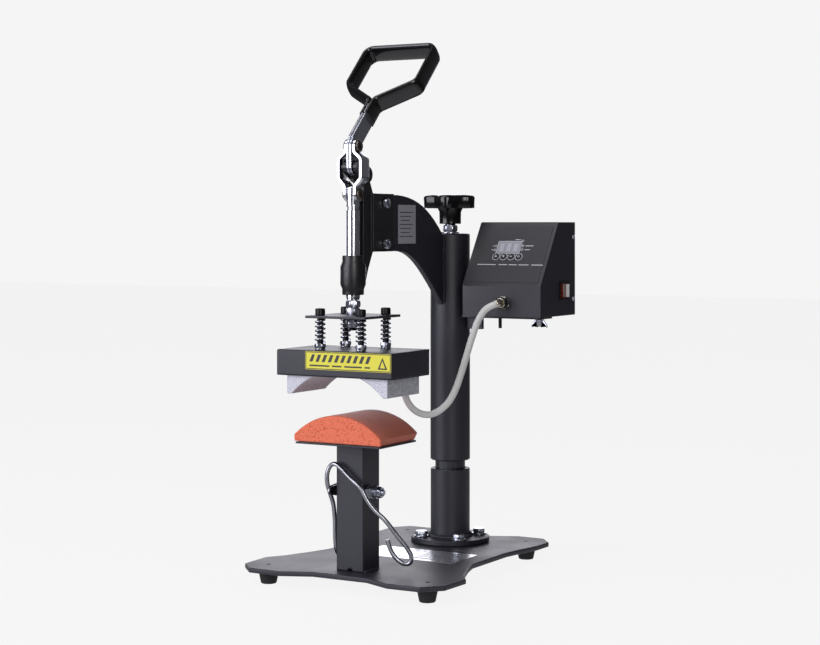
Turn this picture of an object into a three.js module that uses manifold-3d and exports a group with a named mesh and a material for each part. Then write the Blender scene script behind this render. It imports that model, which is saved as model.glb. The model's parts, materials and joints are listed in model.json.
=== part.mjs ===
// Swing-away cap heat press: a swinging head with a push-pull toggle clamp over a padded post.
// Millimetres, +Z up, operator's side towards -Y. The model is drawn about the column's axis
// and shifted at the end so that the origin lies under the middle of its box, on the table.
import * as THREE from 'three';
import { mergeVertices } from 'three/addons/utils/BufferGeometryUtils.js';
import Module from 'manifold-3d';

const wasm = await Module();
wasm.setup();

// ---- driving dimensions -------------------------------------------------------------------
const GAP = 0.3; // left between pieces that touch

// Heights are counted from a level 5.5 mm above the table.
const FOOT = { bottom: -5.5, top: 12.5, topRadius: 14, bottomRadius: 10.5, rim: 3 };
const FOOT_PLACES = { frontX: 119, frontY: -276, rearX: 96, rearY: 46 };
const PLATE = { bottom: 12.5, thickness: 6.5, screwRadius: 2.5 };
const PLATE_TOP = PLATE.bottom + PLATE.thickness;

const COLUMN = { flangeRadius: 55, flangeHeight: 7, tubeRadius: 27.5, tubeTop: 121, bore: 21.3 };
const FLANGE_TOP = PLATE_TOP + COLUMN.flangeHeight;
const SPINDLE = { radius: 21, bore: 16, top: 443.7, plug: 396, threadRadius: 8.4 };
const SLEEVE = { bottom: 133, top: 450, radius: 27.75, bore: 24, capUnderside: 444, chamfer: 1.5 };
const FLANGE_BOLT = { pitchRadius: 42, shank: 5, hole: 5.4, flats: 16, headHeight: 6.4 };
const FLANGE_WASHER = { radius: 10, thickness: 1.8 };

const POST = { y: -247, half: 20, wall: 2.5, top: 182, notch: 3.6, boltHeight: 120 };
const PAD = { y: -252, width: 130, depth: 94, bottom: 185, side: 8.9, rise: 26.9 };
const PAD_PLATE = { width: 126, depth: 91, thickness: 2.5 };
const BAIL = { rod: 2.9, eyeInner: 24.9, eyeThickness: 2.5 };
const BAIL_BOLT = { shank: 4, hole: 4.3, flats: 13, headHeight: 5.5, nutHeight: 7, washer: 8.7,
  washerThickness: 1.7 };
const BUSH = { inner: 21.4, height: 30, lowInset: 2, highInset: 4 };
const KNOB = { radius: 33.5, lobe: 4.3, lobes: 5, corners: 40, bottom: 485.5, thickness: 19 };
const KNOB_HUB = { radius: 15.5, bottom: 463.6, studRadius: 8, studEnd: 408 };
const KNOB_NUT = { low: 450.3, washerRadius: 13, washerTop: 452.2, flats: 18, height: 10.2 };

const RAM_Y = -259;
const PIVOT_Z = 536.4; // fixed pin of the handle
const CRANK = 26.6; // from the fixed pin up to the link pin
const PLUNGER_Z = 501.6; // lower link bolt
const LINK_PIN_Z = PIVOT_Z + CRANK;
const RAM = { radius: 9, lower: 8.25, thread: 6, bottom: 327, threadTop: 366, shoulder: 368, groove: 1.3 };
const TANG = { half: 5.2, low: 488, top: 511 };
const BARREL = { bottom: 372.5, top: 423, endRadius: 14, radius: 16.5, bore: 9.3 };
const LINK = { thickness: 4, half: 9.6, upper: 4.1, middle: 14.6, lower: 5.6, hole: 4.3, shank: 4,
  boltRadius: 7.5, boltHeight: 4 };
const HANDLE = { half: 3.7, slot: 0.3, width: 23, offset: 2, lean: 45, steelEnd: 68, hubRadius: 10.5 };
const GRIP = { start: 49, split: 78, shoulder: 110, top: 187, half: 56, strap: 6.6, stemHalf: 6.2, depth: 26 };

const PLATEN = { width: 150, depth: 80, bottom: 246, top: 286, radius: 92, crown: 275.5 };
const HOUSING = { width: 172, depth: 96, bottom: 270, top: 303, wall: 2, notchHalf: 48, notchTop: 277 };
const PRESSURE = { side: 89, bottom: 343.5, thickness: 3.3 };
const SPRING_BOLT = { half: 30.5, shank: 4, hole: 4.4, head: 6.4, headHeight: 8.6, end: 277 };
const SPRING_NUT = { flats: 13, height: 7.7 };
const SPRING = { radius: 5.9, wire: 1.1, turns: 5.5 };

const BOX = { left: 40.5, right: 160.5, front: -40, back: 68, bottom: 337, top: 466, wall: 1.5 };
const KNEE = { y: 17, z: 378.5 }; // where the sloping face starts to rise, and how far back it ends
const GLAND = { x: 105, z: 356.5, hole: 6.3 };
const INLET = { x: 75, z: 372, half: [13.5, 10], rimHalf: [20, 13], socketHalf: [12, 8.2], depth: 20 };
const SHELF = { left: 28.3, right: 150, half: 18, thickness: 3, gussetRight: 52, gussetDepth: 16.6 };
const PANEL = { width: 108, height: 92, thickness: 0.9, lift: 0.4 };
const KEY = { radius: 4.2, pitch: 11.6, firstX: -20.6, height: 47.5, proud: 1.7, depth: 4.2 };
const KEY_NAMES = ['key_up', 'key_down', 'key_set', 'key_mode'];
const ROCKER = { y: 33, z: 371.5, height: 20, half: 10.8, proud: 3, depth: 12, tilt: 9 };
const CABLE_RADIUS = 4.5;

// ---- materials ----------------------------------------------------------------------------
const finish = (color, roughness, metalness) =>
  new THREE.MeshStandardMaterial({ color, roughness, metalness });
const paint = () => finish(0x2a292d, 0.5, 0.2);
const zinc = () => finish(0xb8bac0, 0.35, 0.9);
const chrome = () => finish(0xd2d4da, 0.12, 1);
const steel = () => finish(0x9a9ca3, 0.35, 0.95);
const aluminium = () => finish(0xc4c4ca, 0.55, 0.8);
const rubber = () => finish(0x1c1c1e, 0.85, 0);
const silicone = () => finish(0xd0603f, 0.9, 0);
const vinyl = () => finish(0x17171a, 0.25, 0);
const bronze = () => finish(0xa9814a, 0.4, 0.9);
const overlay = () => finish(0x333339, 0.4, 0);
const board = () => finish(0x2f6b3c, 0.6, 0);
const keyCap = () => finish(0xd8d8dc, 0.5, 0);
const rockerRed = () => finish(0x7a2c18, 0.35, 0);
const braid = () => finish(0xd5d3ce, 0.9, 0);

const press = new THREE.Group();

function add(name, geometry, material, parent = press) {
  const mesh = new THREE.Mesh(geometry, material);
  mesh.name = name;
  parent.add(mesh);
  return mesh;
}

// ---- shapes -------------------------------------------------------------------------------
// A block given by its lowest and highest corners.
function block(low, high) {
  const size = high.map((value, i) => value - low[i]);
  const geometry = new THREE.BoxGeometry(...size);
  return geometry.translate(...low.map((value, i) => value + size[i] / 2));
}

// A profile of [radius, height] pairs turned about a vertical axis.
function turned(profile, segments = 20, x = 0, y = 0) {
  const points = profile.map(([radius, height]) => new THREE.Vector2(radius, height));
  return new THREE.LatheGeometry(points, segments).rotateX(Math.PI / 2).translate(x, y, 0);
}

// A turned solid that meets its axis: the profile runs outside, and its ends lie on the axis.
function turnedSolid(profile, segments, x, y) {
  const [, low] = profile[0];
  const [, high] = profile[profile.length - 1];
  return turned([[0, low], ...profile, [0, high]], segments, x, y);
}

// A turned ring: the profile closes on itself.
function turnedRing(profile, segments, x, y) {
  return turned([...profile, profile[0]], segments, x, y);
}

// The same solid laid along X, with heights read along X.
function turnedAlongX(profile, segments, y, z) {
  return turnedSolid(profile, segments, 0, 0).rotateY(Math.PI / 2).translate(0, y, z);
}

function extrude(shape, depth, curveSegments = 8) {
  return new THREE.ExtrudeGeometry(shape, { depth, bevelEnabled: false, curveSegments });
}

// A side view drawn as (y, z), given a thickness along X from x0 to x1.
function extrudeSide(shape, x0, x1, curveSegments) {
  const geometry = extrude(shape, x1 - x0, curveSegments);
  const axes = new THREE.Matrix4().makeBasis(
    new THREE.Vector3(0, 1, 0), new THREE.Vector3(0, 0, 1), new THREE.Vector3(1, 0, 0));
  return geometry.applyMatrix4(axes).translate(x0, 0, 0);
}

// A front view drawn as (x, z), given a depth along Y from y0 to y1.
function extrudeFront(shape, y0, y1, curveSegments) {
  return extrude(shape, y1 - y0, curveSegments).rotateX(Math.PI / 2).translate(0, y1, 0);
}

function polygon(points) {
  return new THREE.Shape(points.map(([a, b]) => new THREE.Vector2(a, b)));
}

function rectangle(width, height) {
  const [a, b] = [width / 2, height / 2];
  return polygon([[-a, -b], [a, -b], [a, b], [-a, b]]);
}

function circle(radius, x = 0, y = 0) {
  return new THREE.Path().absarc(x, y, radius, 0, 2 * Math.PI, false);
}

function hexagon(acrossFlats, turn = 0) {
  const radius = acrossFlats / Math.sqrt(3);
  const angles = [0, 1, 2, 3, 4, 5].map((i) => turn + i * Math.PI / 3);
  return polygon(angles.map((angle) => [radius * Math.cos(angle), radius * Math.sin(angle)]));
}

// The outline of a strap: two round ends of their own radii, joined by their tangents.
function strap([ya, za], ra, [yb, zb], rb) {
  const direction = Math.atan2(zb - za, yb - ya);
  const spread = Math.acos((ra - rb) / Math.hypot(yb - ya, zb - za));
  const shape = new THREE.Shape();
  shape.absarc(ya, za, ra, direction + spread, direction - spread + 2 * Math.PI, false);
  shape.absarc(yb, zb, rb, direction - spread, direction + spread, false);
  return shape;
}

// ---- booleans -----------------------------------------------------------------------------
function toSolid(geometry) {
  const bare = geometry.clone().deleteAttribute('normal').deleteAttribute('uv');
  const merged = mergeVertices(bare, 1e-4);
  return new wasm.Manifold(new wasm.Mesh({
    numProp: 3,
    vertProperties: new Float32Array(merged.attributes.position.array),
    triVerts: new Uint32Array(merged.index.array),
  }));
}

function toGeometry(solid) {
  const { vertProperties, triVerts } = solid.getMesh();
  const geometry = new THREE.BufferGeometry();
  geometry.setAttribute('position', new THREE.BufferAttribute(vertProperties, 3));
  geometry.setIndex(new THREE.BufferAttribute(triVerts, 1));
  geometry.computeVertexNormals();
  return geometry;
}

const join = (...parts) => toGeometry(parts.map(toSolid).reduce((whole, part) => whole.add(part)));
const common = (a, b) => toGeometry(toSolid(a).intersect(toSolid(b)));

function cut(body, ...tools) {
  return toGeometry(tools.map(toSolid).reduce((left, tool) => left.subtract(tool), toSolid(body)));
}

// Straight drills, standing along Z, lying along X and lying along Y.
function drillZ(radius, x, y, low, high, segments = 12) {
  return turnedSolid([[radius, low], [radius, high]], segments, x, y);
}

function drillX(radius, y, z, low, high, segments = 12) {
  return turnedAlongX([[radius, low], [radius, high]], segments, y, z);
}

function drillY(radius, x, z, y, reach, segments) {
  return drillX(radius, 0, 0, -reach, reach, segments).rotateZ(Math.PI / 2).translate(x, y, z);
}

// Two blocks, mirror images across X = 0, that leave a slab of the given half thickness between.
function mirroredBlocks(half, reach, [y0, z0], [y1, z1]) {
  return [block([half, y0, z0], [reach, y1, z1]), block([-reach, y0, z0], [-half, y1, z1])];
}

// ---- base ---------------------------------------------------------------------------------
const FEET = [
  ['foot_front_left', -FOOT_PLACES.frontX, FOOT_PLACES.frontY],
  ['foot_front_right', FOOT_PLACES.frontX, FOOT_PLACES.frontY],
  ['foot_rear_left', -FOOT_PLACES.rearX, FOOT_PLACES.rearY],
  ['foot_rear_right', FOOT_PLACES.rearX, FOOT_PLACES.rearY],
];
const BOLT_PLACES = [45, 135, 225, 315].map((degrees) => {
  const angle = THREE.MathUtils.degToRad(degrees);
  return [FLANGE_BOLT.pitchRadius * Math.cos(angle), FLANGE_BOLT.pitchRadius * Math.sin(angle)];
});

// Half of the plate's outline, from the middle of its front edge to the middle of its back edge.
function plateHalf(side) {
  const corners = [[40, -293], [80, -311], [127, -310], [150, -286], [152, -236], [137, -213], [121, -172],
    [112, -142], [113, -52], [119, -18], [127, 18], [128, 53], [109, 77], [68, 77], [33, 60]];
  return corners.map(([x, y]) => [side * x, y]);
}

function buildBase() {
  const outline = polygon([...plateHalf(1), ...plateHalf(-1).reverse()]);
  for (const [, x, y] of FEET) outline.holes.push(circle(PLATE.screwRadius, x, y));
  for (const [x, y] of BOLT_PLACES) outline.holes.push(circle(FLANGE_BOLT.hole, x, y));
  add('base_plate', extrude(outline, PLATE.thickness, 6).translate(0, 0, PLATE.bottom), paint());

  const top = FOOT.top - GAP;
  for (const [name, x, y] of FEET) {
    const profile = [[FOOT.bottomRadius, FOOT.bottom], [FOOT.topRadius - 1, top - FOOT.rim], [FOOT.topRadius, top]];
    add(name, turnedSolid(profile, 16, x, y), rubber());
  }
}

function buildColumn() {
  const { flangeRadius, tubeRadius, tubeTop, bore } = COLUMN;
  const tube = turnedRing([[bore, PLATE_TOP + GAP], [flangeRadius, PLATE_TOP + GAP], [flangeRadius, FLANGE_TOP],
    [tubeRadius, FLANGE_TOP], [tubeRadius, tubeTop], [bore, tubeTop]], 28);
  const holes = BOLT_PLACES.map(([x, y]) => drillZ(FLANGE_BOLT.hole, x, y, PLATE.bottom, FLANGE_TOP + 5));
  add('lower_column', cut(tube, ...holes), paint());

  const { radius, plug, threadRadius } = SPINDLE;
  const low = PLATE_TOP + GAP;
  add('column_spindle', turnedRing([[SPINDLE.bore, low], [radius, low], [radius, SPINDLE.top],
    [threadRadius, SPINDLE.top], [threadRadius, plug], [SPINDLE.bore, plug]], 20), steel());

  BOLT_PLACES.forEach(([x, y], i) => {
    const seat = FLANGE_TOP + GAP;
    const washerTop = seat + FLANGE_WASHER.thickness;
    const hex = hexagon(FLANGE_BOLT.flats, 0.3 * i);
    const head = extrude(hex, FLANGE_BOLT.headHeight).translate(x, y, washerTop - GAP);
    const shank = turnedSolid([[FLANGE_BOLT.shank, PLATE.bottom + 1], [FLANGE_BOLT.shank, seat],
      [FLANGE_WASHER.radius, seat], [FLANGE_WASHER.radius, washerTop]], 12, x, y);
    add(`flange_bolt_${i + 1}`, join(head, shank), zinc());
  });
}

function buildPost() {
  const section = rectangle(2 * POST.half, 2 * POST.half);
  const inner = POST.half - POST.wall;
  section.holes.push(polygon([[-inner, -inner], [-inner, inner], [inner, inner], [inner, -inner]]));
  const tube = extrude(section, POST.top - PLATE_TOP - GAP).translate(0, POST.y, PLATE_TOP + GAP);
  const reach = POST.half + 5;
  const notch = (z) => drillY(POST.notch, 0, z, POST.y, reach, 10);
  const boltHole = drillX(BAIL_BOLT.hole, POST.y, POST.boltHeight, -reach, reach);
  add('support_post', cut(tube, notch(PLATE_TOP + GAP), notch(POST.top), boltHole), paint());

  const low = POST.top + GAP;
  add('pad_plate', block([-PAD_PLATE.width / 2, PAD.y - PAD_PLATE.depth / 2, low],
    [PAD_PLATE.width / 2, PAD.y + PAD_PLATE.depth / 2, low + PAD_PLATE.thickness]), paint());

  const half = PAD.width / 2;
  const radius = (half * half + PAD.rise * PAD.rise) / (2 * PAD.rise);
  const centre = PAD.bottom + PAD.side + PAD.rise - radius;
  const edge = Math.asin(half / radius);
  const arch = new THREE.Shape().moveTo(half, PAD.bottom + 0.2);
  arch.absarc(0, centre, radius, Math.PI / 2 - edge, Math.PI / 2 + edge, false);
  arch.lineTo(-half, PAD.bottom + 0.2);
  add('lower_pad', extrudeFront(arch, PAD.y - PAD.depth / 2, PAD.y + PAD.depth / 2, 24), silicone());
}

// Centre line of the hold-down's rod, from the hook beside the post, over the post's front and
// down its left side to the end behind it.
const BAIL_LINE = [
  [51, -258, 63], [52.5, -257, 55], [56.6, -255, 45], [63.5, -252, 36.5], [71, -249, 32.5],
  [77.7, -247.5, 34.6], [79.5, -247.5, 42], [76, -250, 51.4], [64, -258, 70], [52, -266, 88.5],
  [38.5, -272, 102.5], [29.5, -274.5, 115], [22, -275.5, 128], [6.2, -275.5, 139.6], [-8.7, -275.5, 152],
  [-17, -275.5, 156.5], [-24.5, -274.5, 153.5], [-28.6, -275.5, 144], [-29, -275, 131], [-29, -268.5, 117.5],
  [-29, -261, 103], [-29, -257, 82], [-29, -256, 58], [-28.5, -252, 40], [-27, -240, 31], [-24, -226, 30],
  [-14, -218, 31], [-2, -218, 34]];
// The eyes' front ends, where they are welded to the rod.
const EYE_FRONT = [-272, 121];

function buildBail() {
  const line = new THREE.CatmullRomCurve3(BAIL_LINE.map((point) => new THREE.Vector3(...point)));
  const section = new THREE.Shape().absarc(0, 0, BAIL.rod, 0, 2 * Math.PI, false);
  const options = { steps: 60, bevelEnabled: false, extrudePath: line, curveSegments: 3 };
  const rod = new THREE.ExtrudeGeometry(section, options);
  const eye = (side) => {
    const near = Math.min(side * BAIL.eyeInner, side * (BAIL.eyeInner + BAIL.eyeThickness));
    const outline = strap([POST.y, POST.boltHeight], 9, EYE_FRONT, 5);
    const hole = drillX(BAIL_BOLT.hole, POST.y, POST.boltHeight, near - 5, near + 10);
    return cut(extrudeSide(outline, near, near + BAIL.eyeThickness, 5), hole);
  };
  add('hold_down_bail', join(rod, eye(-1), eye(1)), steel());

  const { shank, hole, flats, headHeight, nutHeight, washer, washerThickness } = BAIL_BOLT;
  const seat = BAIL.eyeInner + BAIL.eyeThickness + GAP;
  const outside = seat + washerThickness;
  const head = extrude(hexagon(flats), headHeight).rotateY(-Math.PI / 2)
    .translate(GAP - outside, POST.y, POST.boltHeight);
  const profile = [[washer, -outside], [washer, -seat], [shank, -seat], [shank, outside + nutHeight + 3]];
  add('bail_bolt', join(head, turnedAlongX(profile, 12, POST.y, POST.boltHeight)), zinc());

  const nutShape = hexagon(flats);
  nutShape.holes.push(circle(hole));
  const nut = extrude(nutShape, nutHeight, 6).rotateY(Math.PI / 2)
    .translate(outside - GAP, POST.y, POST.boltHeight);
  const flange = turnedRing([[hole, seat], [washer, seat], [washer, outside], [hole, outside]], 12)
    .rotateY(Math.PI / 2).translate(0, POST.y, POST.boltHeight);
  add('bail_nut', join(nut, flange), zinc());
}

// ---- swinging head ------------------------------------------------------------------------
function buildSleeve() {
  const { bottom, top, radius, bore, capUnderside, chamfer } = SLEEVE;
  const { threadRadius } = SPINDLE;
  const profile = [[bore, bottom], [radius - chamfer, bottom], [radius, bottom + chamfer],
    [radius, top - chamfer], [radius - chamfer, top], [threadRadius, top], [threadRadius, capUnderside],
    [bore, capUnderside]];
  add('swing_sleeve', turnedRing(profile, 28), paint());

  const { inner, height } = BUSH;
  const outer = bore - GAP;
  const bush = (low) => {
    const high = low + height;
    return turnedRing([[inner, low], [outer, low], [outer, high], [inner, high]], 20);
  };
  add('lower_bush', bush(bottom + BUSH.lowInset), bronze());
  add('upper_bush', bush(capUnderside - BUSH.highInset - height), bronze());
}

function buildKnob() {
  const corner = (i) => {
    const angle = 2 * Math.PI * i / KNOB.corners;
    const radius = KNOB.radius + KNOB.lobe * Math.cos(KNOB.lobes * angle);
    return [radius * Math.cos(angle), radius * Math.sin(angle)];
  };
  const outline = polygon([...Array(KNOB.corners).keys()].map(corner));
  const disc = extrude(outline, KNOB.thickness).translate(0, 0, KNOB.bottom);
  const { radius, bottom, studRadius, studEnd } = KNOB_HUB;
  const hubProfile = [[radius - 2.5, bottom], [radius, bottom + 2.5], [radius, KNOB.bottom + 1]];
  const hub = turnedSolid(hubProfile, 16, 0, 0);
  const stud = turnedSolid([[studRadius, studEnd], [studRadius, bottom + 1]], 12, 0, 0);
  add('star_knob', join(disc, hub, stud), vinyl());

  const { low, washerRadius, washerTop, flats, height } = KNOB_NUT;
  const bore = SPINDLE.threadRadius;
  const nutShape = hexagon(flats, 0.4);
  nutShape.holes.push(circle(bore));
  const nut = extrude(nutShape, height, 6).translate(0, 0, washerTop - GAP);
  const ring = [[bore, low], [washerRadius, low], [washerRadius, washerTop], [bore, washerTop]];
  const washer = turnedRing(ring, 12);
  add('knob_nut', join(nut, washer), zinc());
}

const BRACKET_SCREWS = [['upper', -199, 490], ['lower', -199, 437.5]];
const BRACKET_SCREW = { hole: 4.3, pad: 8.2, shank: 4, head: 6.4, headHeight: 6.5 };
const CHEEK = { half: 12, slot: 4.3, front: -228, back: -175.5, bottom: 427.3, top: 503 };
const ARM = { half: 4, nose: -153, top: 502, tailY: -28.1, tailLow: 351, tailHigh: 448.8 };
const FORK = { half: 12, slot: 4.1, slotBack: -228, floor: PIVOT_Z - 17.5, root: [-240, 527],
  rootRadius: 10.5 };
const PIN = { radius: 3.8, hole: 4.1, half: 13.4 };

function buildArm() {
  const { half, nose, top, tailY, tailLow, tailHigh } = ARM;
  const side = new THREE.Shape();
  side.moveTo(CHEEK.front + 6, CHEEK.bottom + 1);
  side.lineTo(nose, CHEEK.bottom);
  side.bezierCurveTo(-112, CHEEK.bottom, -84, 404, tailY, tailLow);
  side.lineTo(tailY, tailHigh);
  side.bezierCurveTo(-66, 484, -100, 500, nose, top);
  side.lineTo(CHEEK.front + 6, top);
  const holes = BRACKET_SCREWS.map(([, y, z]) => drillX(BRACKET_SCREW.hole, y, z, -20, 20));
  add('arm_plate', cut(extrudeSide(side, -half, half, 10), ...holes), paint());
}

// The clamp's casting: cheeks over the arm, a tapered web, a fork for the handle's pin and the
// barrel that guides the plunger.
function buildBracket() {
  const { front, back, bottom, top } = CHEEK;
  const cheeks = block([-CHEEK.half, front, bottom], [CHEEK.half, back, top]);
  const web = polygon([[-247, 384], [-244, 379], [-234, 405], [-222, 428], [-222, top], [-234, 527],
    [-245, 541], [-255, 541], [-255, 526], [-246, 517]]);
  const fork = strap([RAM_Y, PIVOT_Z], 8.6, FORK.root, FORK.rootRadius);
  const { radius, endRadius } = BARREL;
  const barrel = turnedSolid([[endRadius, BARREL.bottom], [endRadius, 380], [radius, 386], [radius, 409],
    [endRadius, 415], [endRadius, BARREL.top]], 20, 0, RAM_Y);
  const body = join(cheeks, extrudeSide(web, -8, 8), extrudeSide(fork, -FORK.half, FORK.half, 6), barrel);

  const armSlot = block([-CHEEK.slot, front + 5.5, bottom - 5], [CHEEK.slot, back + 5, top + 5]);
  const handleSlot = block([-FORK.slot, RAM_Y - 20, FORK.floor], [FORK.slot, FORK.slotBack, PIVOT_Z + 30]);
  const pinHole = drillX(PIN.hole, RAM_Y, PIVOT_Z, -20, 20);
  const bore = drillZ(BARREL.bore, 0, RAM_Y, BARREL.bottom - 5, BARREL.top + 5, 20);
  const { hole, pad, shank, head, headHeight } = BRACKET_SCREW;
  const screwCuts = BRACKET_SCREWS.flatMap(([, y, z]) => [
    drillX(hole, y, z, -20, 20),
    drillX(pad, y, z, CHEEK.half - 1, CHEEK.half + 5),
    drillX(pad, y, z, -CHEEK.half - 5, 1 - CHEEK.half)]);
  add('toggle_bracket', cut(body, armSlot, handleSlot, pinHole, bore, ...screwCuts), paint());

  add('pivot_pin', turnedAlongX([[PIN.radius, -PIN.half], [PIN.radius, PIN.half]], 12, RAM_Y, PIVOT_Z), zinc());

  const seat = CHEEK.half - 1 + GAP;
  const profile = [[shank, GAP], [shank, seat], [head, seat], [head, seat + headHeight]];
  for (const [level, y, z] of BRACKET_SCREWS) {
    for (const [hand, turn] of [['right', 0], ['left', Math.PI]]) {
      const screw = turnedAlongX(profile, 12, 0, 0).rotateZ(turn).translate(0, y, z);
      add(`bracket_screw_${level}_${hand}`, screw, zinc());
    }
  }
}

// ---- control box --------------------------------------------------------------------------
function boxProfile(inset) {
  const { front, back, bottom, top } = BOX;
  return polygon([[front + inset, bottom + inset], [back + inset, bottom + inset], [back + inset, top - inset],
    [KNEE.y + 0.55 * inset, top - inset], [front + inset, KNEE.z - 0.3 * inset]]);
}

// A frame whose XY plane is the sloping face, with its origin at the middle of the lower fold.
function slopeFrame() {
  const face = new THREE.Group();
  face.position.set((BOX.left + BOX.right) / 2, BOX.front, KNEE.z);
  face.rotation.x = Math.atan2(BOX.top - KNEE.z, KNEE.y - BOX.front);
  face.updateMatrix();
  return face;
}

function buildShell(face) {
  const { left, right, front, wall } = BOX;
  const windowCut = block([-38, 26, -8], [38, 80, 8]).applyMatrix4(face.matrix);
  const glandHole = drillY(GLAND.hole, GLAND.x, GLAND.z, front, 10);
  const [reachY, reachZ] = [ROCKER.half + 2.2, ROCKER.height / 2 + 1];
  const rockerHole = block([right - 5, ROCKER.y - reachY, ROCKER.z - reachZ],
    [right + 5, ROCKER.y + reachY, ROCKER.z + reachZ]);
  const outside = extrudeSide(boxProfile(0), left, right);
  const inside = extrudeSide(boxProfile(wall), left + wall, right - wall);
  add('box_shell', cut(outside, inside, windowCut, glandHole, rockerHole), paint());
}

// The back cover has lips that slip inside the shell, and carries the mains inlet.
function buildCover() {
  const { left, right, back, bottom, top, wall } = BOX;
  const low = back + GAP;
  const sheet = block([left, low, bottom], [right, low + wall, top]);
  const lips = cut(block([left + 2, back - 9, bottom + 2], [right - 2, low + 0.5, top - 2]),
    block([left + 3.5, back - 20, bottom + 3.5], [right - 3.5, low, top - 3.5]));
  const around = ([halfX, halfZ], y0, y1) => block(
    [INLET.x - halfX, y0, INLET.z - halfZ], [INLET.x + halfX, y1, INLET.z + halfZ]);
  const opening = around(INLET.half.map((value) => value + 0.5), back - 5, back + 9);
  add('box_cover', cut(join(sheet, lips), opening), paint());

  const body = around(INLET.half, back - INLET.depth, back + 3);
  const rim = around(INLET.rimHalf, low + wall + GAP, low + wall + GAP + 2.4);
  add('power_inlet', cut(join(body, rim), around(INLET.socketHalf, back - 12, back + 9)), rubber());
}

function buildPanel(face) {
  const panelShape = rectangle(PANEL.width, PANEL.height);
  const middle = PANEL.height / 2 + 6;
  const keyX = KEY_NAMES.map((name, i) => KEY.firstX + i * KEY.pitch);
  for (const x of keyX) panelShape.holes.push(circle(KEY.radius + 0.4, x, KEY.height - middle));
  add('control_panel', extrude(panelShape, PANEL.thickness).translate(0, middle, PANEL.lift), overlay(), face);
  const { radius, proud, depth } = KEY;
  const profile = [[radius, proud - depth], [radius, proud - 0.5], [radius - 0.5, proud]];
  KEY_NAMES.forEach((name, i) => add(name, turnedSolid(profile, 12, keyX[i], KEY.height), keyCap(), face));
  add('controller_board', block([-42, 20, -8], [42, 86, -6.4]), board(), face);
}

// Seen from above, two wings meet in a shallow V, and the rear one stands out at rest.
function buildRocker() {
  const { half, proud, depth, height } = ROCKER;
  const inside = 6 - depth;
  const paddle = polygon([[1 - half, inside], [half - 1, inside], [half, proud - 1], [0, proud - 3],
    [-half, proud - 1]]);
  const turn = THREE.MathUtils.degToRad(ROCKER.tilt) - Math.PI / 2;
  const rocker = extrude(paddle, height).translate(0, 0, -height / 2).rotateZ(turn);
  add('rocker_switch', rocker.translate(BOX.right, ROCKER.y, ROCKER.z), rockerRed());
}

function buildBox() {
  const face = slopeFrame();
  press.add(face);
  buildShell(face);
  buildCover();
  buildPanel(face);
  buildRocker();

  const gland = turnedRing([[5, -6], [6, -6], [6, 0.3], [9, 0.3], [9, 5], [7.6, 5.4], [7.6, 12], [5, 12]], 16)
    .rotateX(Math.PI / 2).translate(GLAND.x, BOX.front, GLAND.z);
  add('box_gland', gland, zinc());

  const top = BOX.bottom - GAP - 0.1;
  const { left, right, half, thickness, gussetRight, gussetDepth } = SHELF;
  const shelf = block([left, -half, top - thickness], [right, half, top]);
  const gusset = block([left, -3, top - thickness - gussetDepth], [gussetRight, 3, top - thickness + 0.5]);
  add('box_bracket', join(shelf, gusset), paint());
}

// ---- toggle -------------------------------------------------------------------------------
// A frame whose X axis runs up the handle from the link pin and whose Y axis crosses its width.
const leanAngle = THREE.MathUtils.degToRad(HANDLE.lean);
const upHandle = (along, across) => [
  RAM_Y + along * Math.cos(leanAngle) - across * Math.sin(leanAngle),
  LINK_PIN_Z + along * Math.sin(leanAngle) + across * Math.cos(leanAngle)];

function buildHandle() {
  const pins = strap([RAM_Y, PIVOT_Z], HANDLE.hubRadius, [RAM_Y, LINK_PIN_Z], HANDLE.hubRadius + 1);
  const [low, high] = [HANDLE.offset - HANDLE.width / 2, HANDLE.offset + HANDLE.width / 2];
  const alongHandle = (corners) => polygon(corners.map(([along, across]) => upHandle(along, across)));
  const end = HANDLE.steelEnd;
  const stem = alongHandle([[0, low], [end, low], [end, high], [4, high]]);
  const slot = alongHandle([[-60, -60], [end - 16, -60], [end - 16, 60], [-60, 60]]);
  const flat = (shape) => extrudeSide(shape, -HANDLE.half, HANDLE.half, 7);
  const flats = join(flat(pins), flat(stem));
  const bar = cut(flats, extrudeSide(slot, -HANDLE.slot, HANDLE.slot),
    drillX(PIN.hole, RAM_Y, PIVOT_Z, -9, 9), drillX(LINK.hole, RAM_Y, LINK_PIN_Z, -9, 9));
  add('handle_bar', bar, zinc());

  // The dipped loop is drawn flat: u across the machine, v up the handle.
  const { start, split, shoulder, top, half, strap: thick, stemHalf, depth } = GRIP;
  const outer = polygon([[stemHalf, start], [stemHalf, split], [half, shoulder], [half, top - 9],
    [half - 9, top], [9 - half, top], [-half, top - 9], [-half, shoulder], [-stemHalf, split],
    [-stemHalf, start]]);
  const inner = half - thick;
  outer.holes.push(polygon([[0, split + 9], [-inner, shoulder + 4], [-inner, top - 10],
    [4 - inner, top - thick], [inner - 4, top - thick], [inner, top - 10], [inner, shoulder + 4]]));
  const [y, z] = upHandle(0, HANDLE.offset);
  const loop = extrude(outer, depth).translate(0, 0, -depth / 2).rotateX(leanAngle).translate(0, y, z);
  const pocketEnd = HANDLE.steelEnd + GAP;
  const pocket = alongHandle([[start - 9, low - GAP], [pocketEnd, low - GAP], [pocketEnd, high + GAP],
    [start - 9, high + GAP]]);
  const clearance = HANDLE.half + GAP;
  add('handle_grip', cut(loop, extrudeSide(pocket, -clearance, clearance)), vinyl());

  const { boltRadius, boltHeight, upper, thickness, shank } = LINK;
  const seat = upper + thickness + GAP;
  const head = seat + boltHeight;
  const profile = [[boltRadius - 1, -head], [boltRadius, 1 - head], [boltRadius, -seat], [shank, -seat],
    [shank, seat], [boltRadius, seat], [boltRadius, head - 1], [boltRadius - 1, head]];
  add('link_pin', turnedAlongX(profile, 16, RAM_Y, LINK_PIN_Z), steel());
}

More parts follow.
